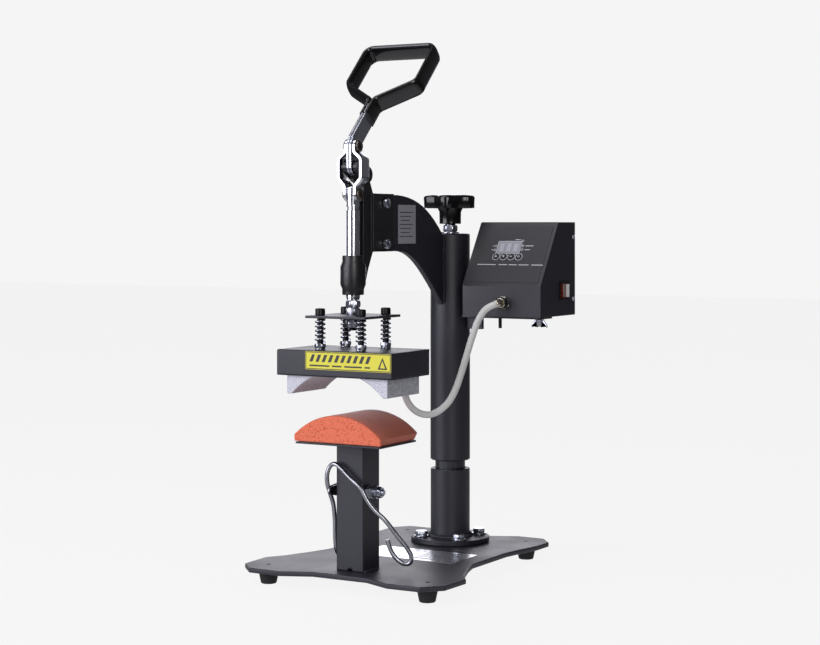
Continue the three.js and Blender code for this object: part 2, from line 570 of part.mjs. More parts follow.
// A link is a flat bar bowed outwards round the fork, with round ends and the lower bolt's head.
function buildLinks() {
  const { thickness, half, upper, middle, lower, boltRadius, boltHeight } = LINK;
  const bow = [[upper, LINK_PIN_Z + 12], [upper, LINK_PIN_Z - 7.5], [middle, LINK_PIN_Z - 16],
    [middle, PLUNGER_Z + 20], [lower, PLUNGER_Z + 10.5], [lower, PLUNGER_Z - 12]];
  const outside = bow.map(([x, z]) => [x + thickness, z]).reverse();
  const outline = extrudeSide(strap([RAM_Y, LINK_PIN_Z], half, [RAM_Y, PLUNGER_Z], half - 0.01), -30, 30, 6);
  for (const [name, side] of [['link_right', 1], ['link_left', -1]]) {
    const front = polygon([...bow, ...outside].map(([x, z]) => [side * x, z]));
    const bar = common(extrudeFront(front, RAM_Y - 15, RAM_Y + 15), outline);
    const face = lower + thickness;
    const ends = [side * (face - 0.5), side * (face + boltHeight)].sort((a, b) => a - b);
    const head = turnedAlongX([[boltRadius, ends[0]], [boltRadius, ends[1]]], 14, RAM_Y, PLUNGER_Z);
    add(name, cut(join(bar, head), drillX(LINK.hole, RAM_Y, LINK_PIN_Z, -20, 20)), chrome());
  }
}

// ---- ram and platen -----------------------------------------------------------------------
const SPRING_PLACES = [[-1, -1], [1, -1], [1, 1], [-1, 1]].map(
  ([a, b]) => [a * SPRING_BOLT.half, RAM_Y + b * SPRING_BOLT.half]);

function buildRam() {
  const { radius, lower, thread, bottom, threadTop, shoulder, groove } = RAM;
  const neck = radius - groove;
  const rod = turnedSolid([[thread - 1, bottom], [thread, bottom + 1], [thread, threadTop],
    [lower, threadTop], [lower, shoulder], [radius, shoulder + 1], [radius, TANG.low - 7],
    [neck, TANG.low - 6], [neck, TANG.low - 3], [radius, TANG.low - 2], [radius, TANG.top - 1],
    [radius - 1, TANG.top]], 18, 0, RAM_Y);
  const sides = mirroredBlocks(TANG.half, 15, [RAM_Y - 15, TANG.low], [RAM_Y + 15, TANG.top + 5]);
  add('ram_rod', cut(rod, ...sides), chrome());

  const plateTop = PRESSURE.bottom + PRESSURE.thickness;
  const hexRing = (turn, low, height) => {
    const shape = hexagon(17, turn);
    shape.holes.push(circle(thread + GAP));
    return extrude(shape, height, 6).translate(0, RAM_Y, low);
  };
  const seat = plateTop + GAP;
  add('ram_nut_pair', join(hexRing(0.2, seat, 9.5), hexRing(0.65, seat + 9.3, 9)), zinc());

  const plate = rectangle(PRESSURE.side, PRESSURE.side);
  plate.holes.push(circle(thread + GAP));
  for (const [x, y] of SPRING_PLACES) plate.holes.push(circle(SPRING_BOLT.hole, x, y - RAM_Y));
  add('pressure_plate', extrude(plate, PRESSURE.thickness, 6).translate(0, RAM_Y, PRESSURE.bottom), paint());
}

function buildPlaten() {
  const { width, depth, bottom, top, radius, crown } = PLATEN;
  const centre = crown - radius;
  const reach = Math.sqrt(radius * radius - (bottom - centre) ** 2);
  const edge = Math.asin(reach / radius);
  const arch = new THREE.Shape().moveTo(reach, bottom);
  arch.lineTo(width / 2, bottom);
  arch.lineTo(width / 2, top);
  arch.lineTo(-width / 2, top);
  arch.lineTo(-width / 2, bottom);
  arch.absarc(0, centre, radius, Math.PI / 2 + edge, Math.PI / 2 - edge, true);
  const holes = SPRING_PLACES.map(([x, y]) => drillZ(SPRING_BOLT.hole, x, y, SPRING_BOLT.end - 1, top + 20));
  add('heater_block', cut(extrudeFront(arch, RAM_Y - depth / 2, RAM_Y + depth / 2, 28), ...holes), aluminium());

  const outer = [HOUSING.width / 2, HOUSING.depth / 2];
  const inner = outer.map((value) => value - HOUSING.wall);
  const cover = block([-outer[0], RAM_Y - outer[1], HOUSING.bottom], [outer[0], RAM_Y + outer[1], HOUSING.top]);
  const hollow = block([-inner[0], RAM_Y - inner[1], HOUSING.bottom - 5],
    [inner[0], RAM_Y + inner[1], HOUSING.top - HOUSING.wall]);
  const { notchHalf, notchTop } = HOUSING;
  const notch = block([-notchHalf, RAM_Y + inner[1] - 1, HOUSING.bottom - 5],
    [notchHalf, RAM_Y + outer[1] + 1, notchTop]);
  add('platen_housing', cut(cover, hollow, notch, ...holes), paint());

  const seat = PRESSURE.bottom + PRESSURE.thickness + GAP;
  const low = HOUSING.top + GAP;
  const springLow = low + SPRING_NUT.height + GAP + SPRING.wire;
  const springHigh = PRESSURE.bottom - GAP - SPRING.wire;
  SPRING_PLACES.forEach(([x, y], i) => {
    const { shank, head, headHeight, end } = SPRING_BOLT;
    const screw = turnedSolid([[shank, end], [shank, seat], [head, seat], [head, seat + headHeight - 0.8],
      [head - 0.8, seat + headHeight]], 12, x, y);
    const nut = extrude(hexagon(SPRING_NUT.flats, 0.5 * i), SPRING_NUT.height).translate(x, y, low);
    add(`spring_bolt_${i + 1}`, join(screw, nut), rubber());

    const spiral = new THREE.Curve();
    spiral.getPoint = (t) => {
      const angle = 2 * Math.PI * SPRING.turns * t;
      return new THREE.Vector3(x + SPRING.radius * Math.cos(angle), y + SPRING.radius * Math.sin(angle),
        springLow + (springHigh - springLow) * t);
    };
    const section = new THREE.Shape().absarc(0, 0, SPRING.wire, 0, 2 * Math.PI, false);
    const options = { steps: 48, bevelEnabled: false, extrudePath: spiral, curveSegments: 2 };
    add(`platen_spring_${i + 1}`, new THREE.ExtrudeGeometry(section, options), steel());
  });
}

// ---- heater cable -------------------------------------------------------------------------
// It leaves the gland forwards, hangs beside the column and rises to the back of the block.
const CABLE_LINE = [
  [105, -52.6, 356.5], [104, -57, 356.2], [100, -62, 354], [91, -67, 348], [84, -74, 334], [80, -84, 312],
  [78, -95, 290], [76.5, -108, 266], [74.5, -120, 245.3], [70, -131, 228.5], [61, -138, 217.5],
  [52, -148, 211.8], [43.5, -160, 213.5], [38, -171, 220.5], [35, -180.5, 231], [34.5, -187, 243],
  [36, -194, 256], [39, -204, 266.5], [41.5, -211.5, 270.2], [42, -217.8, 271.3]];

function buildCable() {
  const line = new THREE.CatmullRomCurve3(CABLE_LINE.map((point) => new THREE.Vector3(...point)));
  const section = new THREE.Shape().absarc(0, 0, CABLE_RADIUS, 0, 2 * Math.PI, false);
  const options = { steps: 34, bevelEnabled: false, extrudePath: line, curveSegments: 4 };
  add('heater_cable', new THREE.ExtrudeGeometry(section, options), braid());
}

buildBase();
buildColumn();
buildPost();
buildBail();
buildSleeve();
buildKnob();
buildArm();
buildBracket();
buildBox();
buildHandle();
buildLinks();
buildRam();
buildPlaten();
buildCable();

// Set the origin under the middle of the machine's box.
press.updateMatrixWorld(true);
const bounds = new THREE.Box3().setFromObject(press, true);
const middle = bounds.getCenter(new THREE.Vector3());
press.position.set(-middle.x, -middle.y, -bounds.min.z);
press.updateMatrixWorld(true);

export default press;
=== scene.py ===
"""A swing-away cap heat press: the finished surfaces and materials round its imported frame.

Places are written in millimetres from the foot of the column, with +Z up, the operator towards -Y
and the control box towards +X. The function `placed` turns them into metres in the frame.
"""

import json
import math

import bmesh
import bpy
import numpy as np
from bpy.props import FloatProperty, FloatVectorProperty, IntProperty, PointerProperty
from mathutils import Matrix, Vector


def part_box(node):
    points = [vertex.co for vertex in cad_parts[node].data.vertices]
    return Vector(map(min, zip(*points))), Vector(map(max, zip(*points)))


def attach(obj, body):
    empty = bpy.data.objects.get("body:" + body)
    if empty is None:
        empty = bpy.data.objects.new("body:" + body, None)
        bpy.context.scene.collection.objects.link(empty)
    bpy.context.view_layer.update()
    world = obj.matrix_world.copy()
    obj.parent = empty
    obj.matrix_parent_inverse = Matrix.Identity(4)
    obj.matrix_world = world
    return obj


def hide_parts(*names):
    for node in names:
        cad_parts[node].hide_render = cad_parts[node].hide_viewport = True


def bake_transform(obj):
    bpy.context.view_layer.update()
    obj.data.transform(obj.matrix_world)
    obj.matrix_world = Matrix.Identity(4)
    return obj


bl_info = {
    "name": "Cap press finish",
    "version": (1, 0, 0),
    "blender": (4, 5, 0),
    "location": "View3D > Sidebar > Press",
    "description": "Surfaces, printing and materials of a swing-away cap heat press",
    "category": "Object",
}

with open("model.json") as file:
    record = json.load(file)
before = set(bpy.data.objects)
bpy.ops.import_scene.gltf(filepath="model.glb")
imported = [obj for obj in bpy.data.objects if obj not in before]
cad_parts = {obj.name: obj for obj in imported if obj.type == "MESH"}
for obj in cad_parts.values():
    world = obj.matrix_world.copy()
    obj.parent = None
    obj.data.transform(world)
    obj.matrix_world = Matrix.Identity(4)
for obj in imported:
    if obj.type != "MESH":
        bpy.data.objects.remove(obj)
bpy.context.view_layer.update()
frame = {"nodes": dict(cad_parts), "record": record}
MM = 0.001  # metres in a millimetre


def linear(hex_text):
    """An sRGB hex colour as the linear red, green and blue that shaders use."""
    channels = np.array([int(hex_text[i:i + 2], 16) / 255 for i in (1, 3, 5)])
    low, high = channels / 12.92, ((channels + 0.055) / 1.055) ** 2.4
    return tuple(float(value) for value in np.where(channels <= 0.04045, low, high))


# ---- places, in millimetres -----------------------------------------------------------------
COLUMN_LOW, COLUMN_HIGH = (np.array(corner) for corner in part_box("lower_column"))
DECK = 19.0  # height of the base plate's top over the level that heights are counted from
COLUMN_FOOT = np.array([*(COLUMN_LOW + COLUMN_HIGH)[:2] / 2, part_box("base_plate")[1][2] - DECK * MM])
HANDS = ((-1, "left"), (1, "right"))


def placed(points):
    """Points in millimetres from the column's foot, as metres in the frame."""
    return np.asarray(points, float) * MM + COLUMN_FOOT


def node_box(name):
    """A node's lowest and highest corners, in millimetres from the column's foot."""
    return tuple((np.array(corner) - COLUMN_FOOT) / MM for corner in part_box(name))


RAM_Y = float(np.mean([corner[1] for corner in node_box("ram_rod")]))
LINK_PIN_Z = float(np.mean([corner[2] for corner in node_box("link_pin")]))
PLUNGER_Z = 501.6  # where the links are bolted to the plunger
PLATE_TOP = node_box("base_plate")[1][2]
FLANGE_TOP = 26.0
PAD_RISE = 26.9  # of the pad's arch, from its edges to its crown
BOLT_Y, BOLT_Z = (float(np.mean([corner[i] for corner in node_box("bail_nut")])) for i in (1, 2))
KEYS = {"key_up": "up", "key_down": "down", "key_set": "bar", "key_mode": "square"}
BOX_LOW, BOX_HIGH = node_box("box_shell")
KNEE = (17.0, 378.5)  # how far back the sloping face ends, and the height where it starts
GLAND = (105.0, BOX_LOW[1], 356.5)
SHELF_SCREW = (145, -12)  # the screw under the box that has the wing nut
CABLE_LINE = (
    (105, -52.6, 356.5), (104, -57, 356.2), (100, -62, 354), (91, -67, 348), (84, -74, 334),
    (80, -84, 312), (78, -95, 290), (76.5, -108, 266), (74.5, -120, 245.3), (70, -131, 228.5),
    (61, -138, 217.5), (52, -148, 211.8), (43.5, -160, 213.5), (38, -171, 220.5), (35, -180.5, 231),
    (34.5, -187, 243), (36, -194, 256), (39, -204, 266.5), (41.5, -211.5, 270.2), (42, -217.8, 271.3))
BAIL_LINE = (
    (51, -258, 63), (52.5, -257, 55), (56.6, -255, 45), (63.5, -252, 36.5), (71, -249, 32.5),
    (77.7, -247.5, 34.6), (79.5, -247.5, 42), (76, -250, 51.4), (64, -258, 70), (52, -266, 88.5),
    (38.5, -272, 102.5), (29.5, -274.5, 115), (22, -275.5, 128), (6.2, -275.5, 139.6),
    (-8.7, -275.5, 152), (-17, -275.5, 156.5), (-24.5, -274.5, 153.5), (-28.6, -275.5, 144),
    (-29, -275, 131), (-29, -268.5, 117.5), (-29, -261, 103), (-29, -257, 82), (-29, -256, 58),
    (-28.5, -252, 40), (-27, -240, 31), (-24, -226, 30), (-14, -218, 31), (-2, -218, 34))


# ---- what a user would change ---------------------------------------------------------------
def colour_property(name, description, hex_text):
    """A colour that a user can change."""
    return FloatVectorProperty(name=name, description=description, subtype="COLOR",
                               min=0.0, max=1.0, default=linear(hex_text))


def length_property(name, description, millimetres):
    """A length that a user can change, kept in metres."""
    return FloatProperty(name=name, description=description, subtype="DISTANCE", unit="LENGTH",
                         min=0.0, default=millimetres * MM, precision=5)


class PressColours(bpy.types.PropertyGroup):
    """Colours of the press's paints, plastics and printing"""
    powder: colour_property("Powder coat", "Satin powder coat of the steel parts", "#201f28")
    casting: colour_property("Casting paint", "Paint on the clamp's casting", "#151518")
    sponge: colour_property("Silicone sponge", "Skin of the lower pad", "#bd5f45")
    vinyl: colour_property("Dipped vinyl", "Dip on the handle's loop", "#08080a")
    label: colour_property("Hazard label", "Ground of the label on the housing", "#d9d02c")
    ink: colour_property("Printing", "Light ink on the control panel", "#dcdce6")
    sleeve: colour_property("Cable sleeve", "Glass-fibre sleeve of the heater cable", "#d6d5d3")
    rocker: colour_property("Rocker", "Translucent plastic of the mains switch", "#6b2413")


class PressSizes(bpy.types.PropertyGroup):
    """Sizes of details that finish the press"""
    edge: length_property("Edge radius", "Radius on the edges of folded and cut steel", 0.8)
    cable: length_property("Cable diameter", "Outer diameter of the heater cable", 9.0)
    spring_wire: length_property("Spring wire", "Wire of the platen's springs", 2.3)
    spring_turns: FloatProperty(name="Spring turns", description="Turns of each platen spring",
                                default=5.25, min=3.0, max=12.0)
    rod: length_property("Hold-down rod", "Rod of the cap hold-down", 5.8)
    round_sides: IntProperty(name="Round sides", description="Sides of a turned piece",
                             default=72, min=24, max=144)


def colours():
    """The colours that the user has chosen."""
    return bpy.context.scene.press_colours


def sizes():
    """The sizes that the user has chosen."""
    return bpy.context.scene.press_sizes


# ---- materials ------------------------------------------------------------------------------
def add(tree, kind, inputs=None, **settings):
    """Adds one shader node: settings are its properties, and inputs are values or sockets to link."""
    made = tree.nodes.new(kind)
    for name, value in settings.items():
        setattr(made, name, value)
    for name, value in (inputs or {}).items():
        if isinstance(value, bpy.types.NodeSocket):
            tree.links.new(value, made.inputs[name])
        else:
            made.inputs[name].default_value = value
    return made


def new_finish(name, base, roughness, metallic=0.0, **sockets):
    """A material with one principled shader; returns it with its tree, shader and object place."""
    material = bpy.data.materials.new(name)
    material.use_nodes = True
    tree = material.node_tree
    shader = tree.nodes["Principled BSDF"]
    shader.inputs["Base Color"].default_value = (*base, 1)
    shader.inputs["Roughness"].default_value = roughness
    shader.inputs["Metallic"].default_value = metallic
    for socket, value in sockets.items():
        shader.inputs[socket.replace("_", " ")].default_value = value
    place = add(tree, "ShaderNodeTexCoord").outputs["Object"]
    return material, tree, shader, place


def noise(tree, place, size_mm, detail=3.0):
    """Noise whose lumps are about size_mm across."""
    inputs = {"Vector": place, "Scale": 1 / (size_mm * MM), "Detail": detail}
    return add(tree, "ShaderNodeTexNoise", inputs).outputs["Fac"]


def spread(tree, value, low, high):
    """Maps the middle of a noise to the range from low to high."""
    inputs = {"Value": value, "From Min": 0.3, "From Max": 0.7, "To Min": low, "To Max": high}
    return add(tree, "ShaderNodeMapRange", inputs).outputs["Result"]


def mixed(tree, factor, first, second):
    """A colour that goes from the first to the second as the factor goes from 0 to 1."""
    made = add(tree, "ShaderNodeMix", data_type="RGBA")
    tree.links.new(factor, made.inputs["Factor"])
    made.inputs["A"].default_value = (*first, 1)
    made.inputs["B"].default_value = (*second, 1)
    return made.outputs["Result"]


def coloured(tree, shader, factor, first, second):
    """Lets the base colour wander between two colours."""
    tree.links.new(mixed(tree, factor, first, second), shader.inputs["Base Color"])


def roughened(tree, shader, value, low, high):
    """Lets the roughness wander between two values."""
    tree.links.new(spread(tree, value, low, high), shader.inputs["Roughness"])


def bumped(tree, shader, height, depth_mm, strength):
    """Bends the shader's normals as a relief of depth_mm millimetres would."""
    inputs = {"Height": height, "Distance": depth_mm * MM, "Strength": strength}
    made = add(tree, "ShaderNodeBump", inputs).outputs["Normal"]
    tree.links.new(made, shader.inputs["Normal"])


def scaled(colour, factor):
    """A colour made lighter or darker, and kept within white."""
    return tuple(min(1.0, channel * factor) for channel in colour)


def powder_coat():
    # Polyester powder coat, baked: satin, with a fine orange peel that breaks up its highlights.
    base = tuple(colours().powder)
    material, tree, shader, place = new_finish("satin_powder_coat", base, 0.46)
    cloud = noise(tree, place, 60)
    coloured(tree, shader, cloud, scaled(base, 0.85), scaled(base, 1.2))
    roughened(tree, shader, cloud, 0.42, 0.5)
    bumped(tree, shader, noise(tree, place, 1.1), 0.04, 0.35)
    return material


def casting_paint():
    # Brushed paint over a sand casting: the grains of the mould show through as soft lumps.
    base = tuple(colours().casting)
    material, tree, shader, place = new_finish("painted_sand_casting", base, 0.34)
    roughened(tree, shader, noise(tree, place, 9), 0.28, 0.42)
    bumped(tree, shader, noise(tree, place, 2.2, 5.0), 0.3, 0.6)
    return material


def bright_metal(name, hex_text, roughness, grain_mm, uneven=0.06):
    """A bare or plated metal whose roughness wanders with its grain."""
    base = linear(hex_text)
    material, tree, shader, place = new_finish(name, base, roughness, 1.0)
    grain = noise(tree, place, grain_mm, 4.0)
    roughened(tree, shader, grain, roughness - uneven, roughness + uneven)
    coloured(tree, shader, noise(tree, place, 12), scaled(base, 0.82), base)
    return material


def zinc_plate():
    # Bright zinc over machined steel: cool grey with a faint bloom.
    return bright_metal("bright_zinc_plate", "#c4c7d2", 0.26, 6.0, 0.05)


def chrome_plate():
    # Polished hard chrome: nearly a mirror, with hairline wear.
    return bright_metal("polished_chrome", "#dcdde4", 0.16, 8.0, 0.04)


def drawn_steel():
    # Cold-drawn rod, lightly oiled: grey, with dull stretches between the polished ones.
    return bright_metal("drawn_steel_rod", "#a3a4ab", 0.3, 5.0, 0.1)


def turned_steel():
    # Turned and greased steel, darkened in service.
    return bright_metal("greased_turned_steel", "#4a4a50", 0.34, 2.0)


def worn_steel():
    # Socket screws with their blacking worn to a brown bloom.
    return bright_metal("worn_screw_steel", "#6e655f", 0.36, 2.5)


def black_oxide():
    # Blackened socket screws: dark, a little metallic.
    material, tree, shader, place = new_finish("black_oxide_steel", linear("#1b1b1e"), 0.36, 0.7)
    roughened(tree, shader, noise(tree, place, 2), 0.3, 0.44)
    return material


def sintered_bronze():
    # Oil-filled bronze bushes: fine open grain.
    return bright_metal("sintered_bronze", "#a9814a", 0.4, 0.8)


def nickel_plate():
    # Nickel on brass: a slightly warm bright metal.
    return bright_metal("nickel_plated_brass", "#c9c3b4", 0.22, 1.6)


def cast_aluminium():
    # Blasted aluminium casting: pale, with a fine sparkling grain.
    base = linear("#cfcfd6")
    material, tree, shader, place = new_finish("blasted_cast_aluminium", base, 0.55, 0.45)
    grain = noise(tree, place, 2.0, 8.0)
    contrast = spread(tree, grain, 0.0, 1.0)
    coloured(tree, shader, contrast, linear("#9b9ba3"), linear("#d8d8e0"))
    roughened(tree, shader, grain, 0.45, 0.65)
    bumped(tree, shader, grain, 0.3, 0.7)
    return material


def dipped_vinyl():
    # Plastisol dip: deep gloss with the slow waves of a coat that ran before it set.
    base = tuple(colours().vinyl)
    material, tree, shader, place = new_finish("dipped_vinyl", base, 0.14, Coat_Weight=0.4,
                                               Coat_Roughness=0.06)
    roughened(tree, shader, noise(tree, place, 14), 0.18, 0.26)
    bumped(tree, shader, noise(tree, place, 24, 0.0), 0.3, 0.3)
    return material


def moulded_plastic():
    # Phenolic knob, moulded glossy.
    material, tree, shader, place = new_finish("moulded_phenolic", linear("#0b0b0d"), 0.16)
    bumped(tree, shader, noise(tree, place, 9, 0.0), 0.05, 0.15)
    return material


def dull_plastic():
    # Spark-eroded mould texture: fine even grain.
    material, tree, shader, place = new_finish("matt_moulded_plastic", linear("#131315"), 0.55)
    bumped(tree, shader, noise(tree, place, 0.7), 0.05, 0.5)
    return material


def foot_rubber():
    # Filled rubber: dull, with a dusty bloom.
    material, tree, shader, place = new_finish("foot_rubber", linear("#0e0e10"), 0.8)
    coloured(tree, shader, noise(tree, place, 4), linear("#0b0b0c"), linear("#1a1a1d"))
    bumped(tree, shader, noise(tree, place, 0.9), 0.08, 0.5)
    return material


def sponge_skin():
    # Moulded silicone sponge: matt skin, a little darker in broad patches.
    base = tuple(colours().sponge)
    material, tree, shader, place = new_finish("silicone_sponge_skin", base, 0.72, Sheen_Weight=0.15,
                                               Sheen_Roughness=0.5)
    patches = noise(tree, place, 16, 4.0)
    coloured(tree, shader, patches, scaled(base, 0.78), scaled(base, 1.12))
    bumped(tree, shader, noise(tree, place, 1.2, 5.0), 0.16, 0.6)
    return material


def sponge_cut():
    # The same sponge where it is cut: open cells, of which the bigger ones are painted dark (#5a241a) as
    # the shade inside the pores.
    # The cut front's colour is the skin's made 1.45 times lighter: painted light for the front face, which
    # the key light falls on.
    base = scaled(tuple(colours().sponge), 1.45)
    material, tree, shader, place = new_finish("silicone_sponge_cut", base, 0.85)
    inputs = {"Vector": place, "Scale": 1 / (2.6 * MM), "Randomness": 1.0}
    cells = add(tree, "ShaderNodeTexVoronoi", inputs)
    inputs = {"Value": cells.outputs["Color"], "From Min": 0.4, "From Max": 1.0, "To Min": 0.0,
              "To Max": 0.34}
    lone = add(tree, "ShaderNodeMapRange", inputs).outputs["Result"]
    pore = add(tree, "ShaderNodeMath", {0: cells.outputs["Distance"], 1: lone}, operation="LESS_THAN")
    ground = mixed(tree, noise(tree, place, 3, 6.0), scaled(base, 0.8), scaled(base, 1.12))
    # Painted shade: the mix below puts a dark colour where the pores are.
    deep = add(tree, "ShaderNodeMix", data_type="RGBA")
    tree.links.new(pore.outputs[0], deep.inputs["Factor"])
    tree.links.new(ground, deep.inputs["A"])
    deep.inputs["B"].default_value = (*linear("#5a241a"), 1)
    tree.links.new(deep.outputs["Result"], shader.inputs["Base Color"])
    bumped(tree, shader, noise(tree, place, 0.9, 5.0), 0.2, 0.7)
    return material


def cable_sleeve():
    # Braided glass-fibre sleeve: two sets of slanting strands, drawn coarser than real to show.
    base = tuple(colours().sleeve)
    material, tree, shader, _ = new_finish("braided_glass_sleeve", base, 0.5, Sheen_Weight=0.1)
    place = add(tree, "ShaderNodeUVMap", uv_map="UVMap").outputs["UV"]
    strands = []
    for slant in (1, -1):
        turned_map = add(tree, "ShaderNodeMapping", {"Vector": place, "Rotation": (0, 0, slant * 0.85)})
        wave = add(tree, "ShaderNodeTexWave", {"Vector": turned_map.outputs["Vector"], "Scale": 0.14})
        strands.append(wave.outputs["Fac"])
    weave = add(tree, "ShaderNodeMath", {0: strands[0], 1: strands[1]}, operation="MAXIMUM").outputs[0]
    coloured(tree, shader, weave, scaled(base, 0.86), scaled(base, 1.05))
    bumped(tree, shader, weave, 0.12, 0.4)
    return material


def panel_overlay():
    # Screen-printed polyester overlay, velvet finish, in the colour of the paint round it.
    base = scaled(tuple(colours().powder), 1.12)
    material, tree, shader, place = new_finish("velvet_polyester_overlay", base, 0.5)
    bumped(tree, shader, noise(tree, place, 0.6), 0.03, 0.4)
    return material


def printing_ink():
    # Screen ink: thin, matt, a little uneven.
    base = tuple(colours().ink)
    material, tree, shader, place = new_finish("screen_ink", base, 0.6)
    coloured(tree, shader, noise(tree, place, 1.0), scaled(base, 0.8), base)
    return material


def display_window(name="tinted_display_window", hex_text="#8d8d9a"):
    # Smoky acrylic over an unlit display.
    material, tree, shader, place = new_finish(name, linear(hex_text), 0.2)
    roughened(tree, shader, noise(tree, place, 7), 0.16, 0.26)
    return material


def label_vinyl(name, colour, roughness=0.42, metallic=0.0):
    """Printed self-adhesive label, with the slight ripple of a sheet stuck down by hand."""
    material, tree, shader, place = new_finish(name, colour, roughness, metallic)
    coloured(tree, shader, noise(tree, place, 20), scaled(colour, 0.92), colour)
    bumped(tree, shader, noise(tree, place, 9, 1.0), 0.08, 0.3)
    return material


def rocker_plastic():
    # Tinted polycarbonate rocker: dark red-brown while its lamp is off.
    base = tuple(colours().rocker)
    material, tree, shader, place = new_finish("tinted_polycarbonate", base, 0.22, Coat_Weight=0.3)
    coloured(tree, shader, noise(tree, place, 8), scaled(base, 0.7), base)
    return material


def circuit_board():
    # Solder mask over copper: green, with darker tracks.
    material, tree, shader, place = new_finish("solder_mask", linear("#2f6b3c"), 0.4)
    coloured(tree, shader, noise(tree, place, 5), linear("#1f4d2a"), linear("#35784a"))
    return material


# The short names that pieces use, and the slot of the frame that each finish belongs to.
FINISHES = {
    "powder": powder_coat, "casting": casting_paint, "zinc": zinc_plate, "chrome": chrome_plate,
    "rod": drawn_steel, "turned": turned_steel, "oxide": black_oxide, "bronze": sintered_bronze,
    "nickel": nickel_plate, "worn": worn_steel, "aluminium": cast_aluminium, "vinyl": dipped_vinyl,
    "knob": moulded_plastic, "dull": dull_plastic, "rubber": foot_rubber, "sponge": sponge_skin,
    "sponge_cut": sponge_cut, "sleeve": cable_sleeve, "overlay": panel_overlay, "ink": printing_ink,
    "window": display_window, "rocker": rocker_plastic, "board": circuit_board,
    "segment": lambda: display_window("unlit_segments", "#a5a5b1"),
    # white: a painted highlight, used for the strip on the rocker's raised edge.
    "white": lambda: label_vinyl("painted_highlight_white", linear("#f0f0f2")),
    "yellow": lambda: label_vinyl("yellow_label_vinyl", tuple(colours().label)),
    "black_print": lambda: label_vinyl("black_label_print", linear("#131316")),
    "grey_label": lambda: label_vinyl("grey_foil_label", linear("#a9a9b1"), 0.45, 0.2),
    "silver": lambda: label_vinyl("silver_foil_label", linear("#dcdce2"), 0.26, 0.85),
    "silver_print": lambda: label_vinyl("grey_label_print", linear("#77777f"), 0.4, 0.4),
}
SLOTS = {
    "powder": "black_powder_coat", "casting": "black_casting", "zinc": "zinc_plate",
    "chrome": "chrome_plate", "rod": "bright_steel", "turned": "bright_steel",
    "oxide": "black_oxide_steel", "worn": "bright_steel", "bronze": "bush_bronze",
    "nickel": "nickel_gland", "aluminium": "cast_aluminium", "vinyl": "dipped_vinyl",
    "knob": "knob_plastic", "dull": "inlet_plastic", "rubber": "rubber_foot",
    "sponge": "silicone_sponge", "sponge_cut": "silicone_sponge", "sleeve": "braided_sleeve",
    "overlay": "panel_overlay", "rocker": "rocker_plastic", "board": "circuit_board",
}
made_finishes = {}


def finish(name):
    """The material of that short name, made the first time that it is asked for."""
    if name not in made_finishes:
        made_finishes[name] = FINISHES[name]()
    return made_finishes[name]


# ---- surfaces -------------------------------------------------------------------------------
def grid_faces(rows, columns, close_rows=False, close_columns=True):
    """Quads of a grid of rows x columns points; a closed direction joins its last line to its first."""
    r = np.arange(rows if close_rows else rows - 1)
    c = np.arange(columns if close_columns else columns - 1)
    i, j = (axis.ravel() for axis in np.meshgrid(r, c, indexing="ij"))
    k, m = (i + 1) % rows, (j + 1) % columns
    return np.stack([i * columns + j, i * columns + m, k * columns + m, k * columns + j], 1)


def swept(rings):
    """A closed surface through rings with equal numbers of points, with one flat face at each end."""
    rings = np.asarray(rings, float)
    number, count = rings.shape[:2]
    last = (number - 1) * count
    ends = [list(range(count))[::-1], list(range(last, last + count))]
    return rings.reshape(-1, 3), [*grid_faces(number, count).tolist(), *ends]


def capped(rings, sides):
    """Faces of rings of points that are followed by two poles: quads between the rings, and a fan
    of triangles from each pole to the ring next to it."""
    around = np.arange(sides)
    ahead = (around + 1) % sides
    pole, last = rings * sides, (rings - 1) * sides
    low_fan = np.stack([np.full(sides, pole), ahead, around], 1)
    high_fan = np.stack([np.full(sides, pole + 1), last + around, last + ahead], 1)
    return [*grid_faces(rings, sides).tolist(), *low_fan.tolist(), *high_fan.tolist()]


def hexagonal(angle):
    """Distance to a hexagon's edge at an angle, for a hexagon whose corners are 1 away."""
    return math.cos(math.pi / 6) / np.cos(np.mod(angle, math.pi / 3) - math.pi / 6)


def revolved(profile, sides=None, form=hexagonal, phase=0.0):
    """A turned solid: row (radius, height, k) becomes a ring at that height whose radius is
    radius * (1 - k + k * form(angle)), so k = 0 is round and k = 1 takes the whole form.
    The first and last rows lie on the axis and become poles."""
    sides = sides or sizes().round_sides
    rows = np.array([(*row, 0.0)[:3] for row in profile], float)
    angle = np.linspace(0, 2 * math.pi, sides, endpoint=False)
    radius, height, share = rows[1:-1].T[:, :, None]
    ring = radius * (1 - share + share * form(angle - phase)[None])
    points = np.stack([ring * np.cos(angle), ring * np.sin(angle), height + 0 * ring], -1).reshape(-1, 3)
    poles = np.array([[0, 0, rows[0, 1]], [0, 0, rows[-1, 1]]])
    return np.concatenate([points, poles]), capped(len(rows) - 2, sides)


def along_x(points, x=0.0, y=0.0, z=0.0, sign=1):
    """Lays a solid that stands on Z along +X or -X, by a plain turn, and moves it."""
    local = np.asarray(points)
    turned_points = np.stack([sign * local[:, 2], local[:, 0] * sign, local[:, 1]], 1)
    return turned_points + np.array([x, y, z])


def along_y(points, x=0.0, y=0.0, z=0.0):
    """Lays a solid that stands on Z along -Y, by a plain turn, and moves it."""
    local = np.asarray(points)
    return np.stack([local[:, 0], -local[:, 2], local[:, 1]], 1) + np.array([x, y, z])


def backwards(points):
    """Lays a solid that stands on Z along +Y, by a plain turn."""
    local = np.asarray(points)
    return np.stack([-local[:, 0], local[:, 2], local[:, 1]], 1)


def moved(points, x=0.0, y=0.0, z=0.0):
    """Points shifted by x, y and z."""
    return np.asarray(points) + np.array([x, y, z])


def laid(surface, lay, *place):
    """A surface whose points a function such as `moved` or `along_x` puts in their place."""
    points, faces = surface
    return lay(points, *place), faces


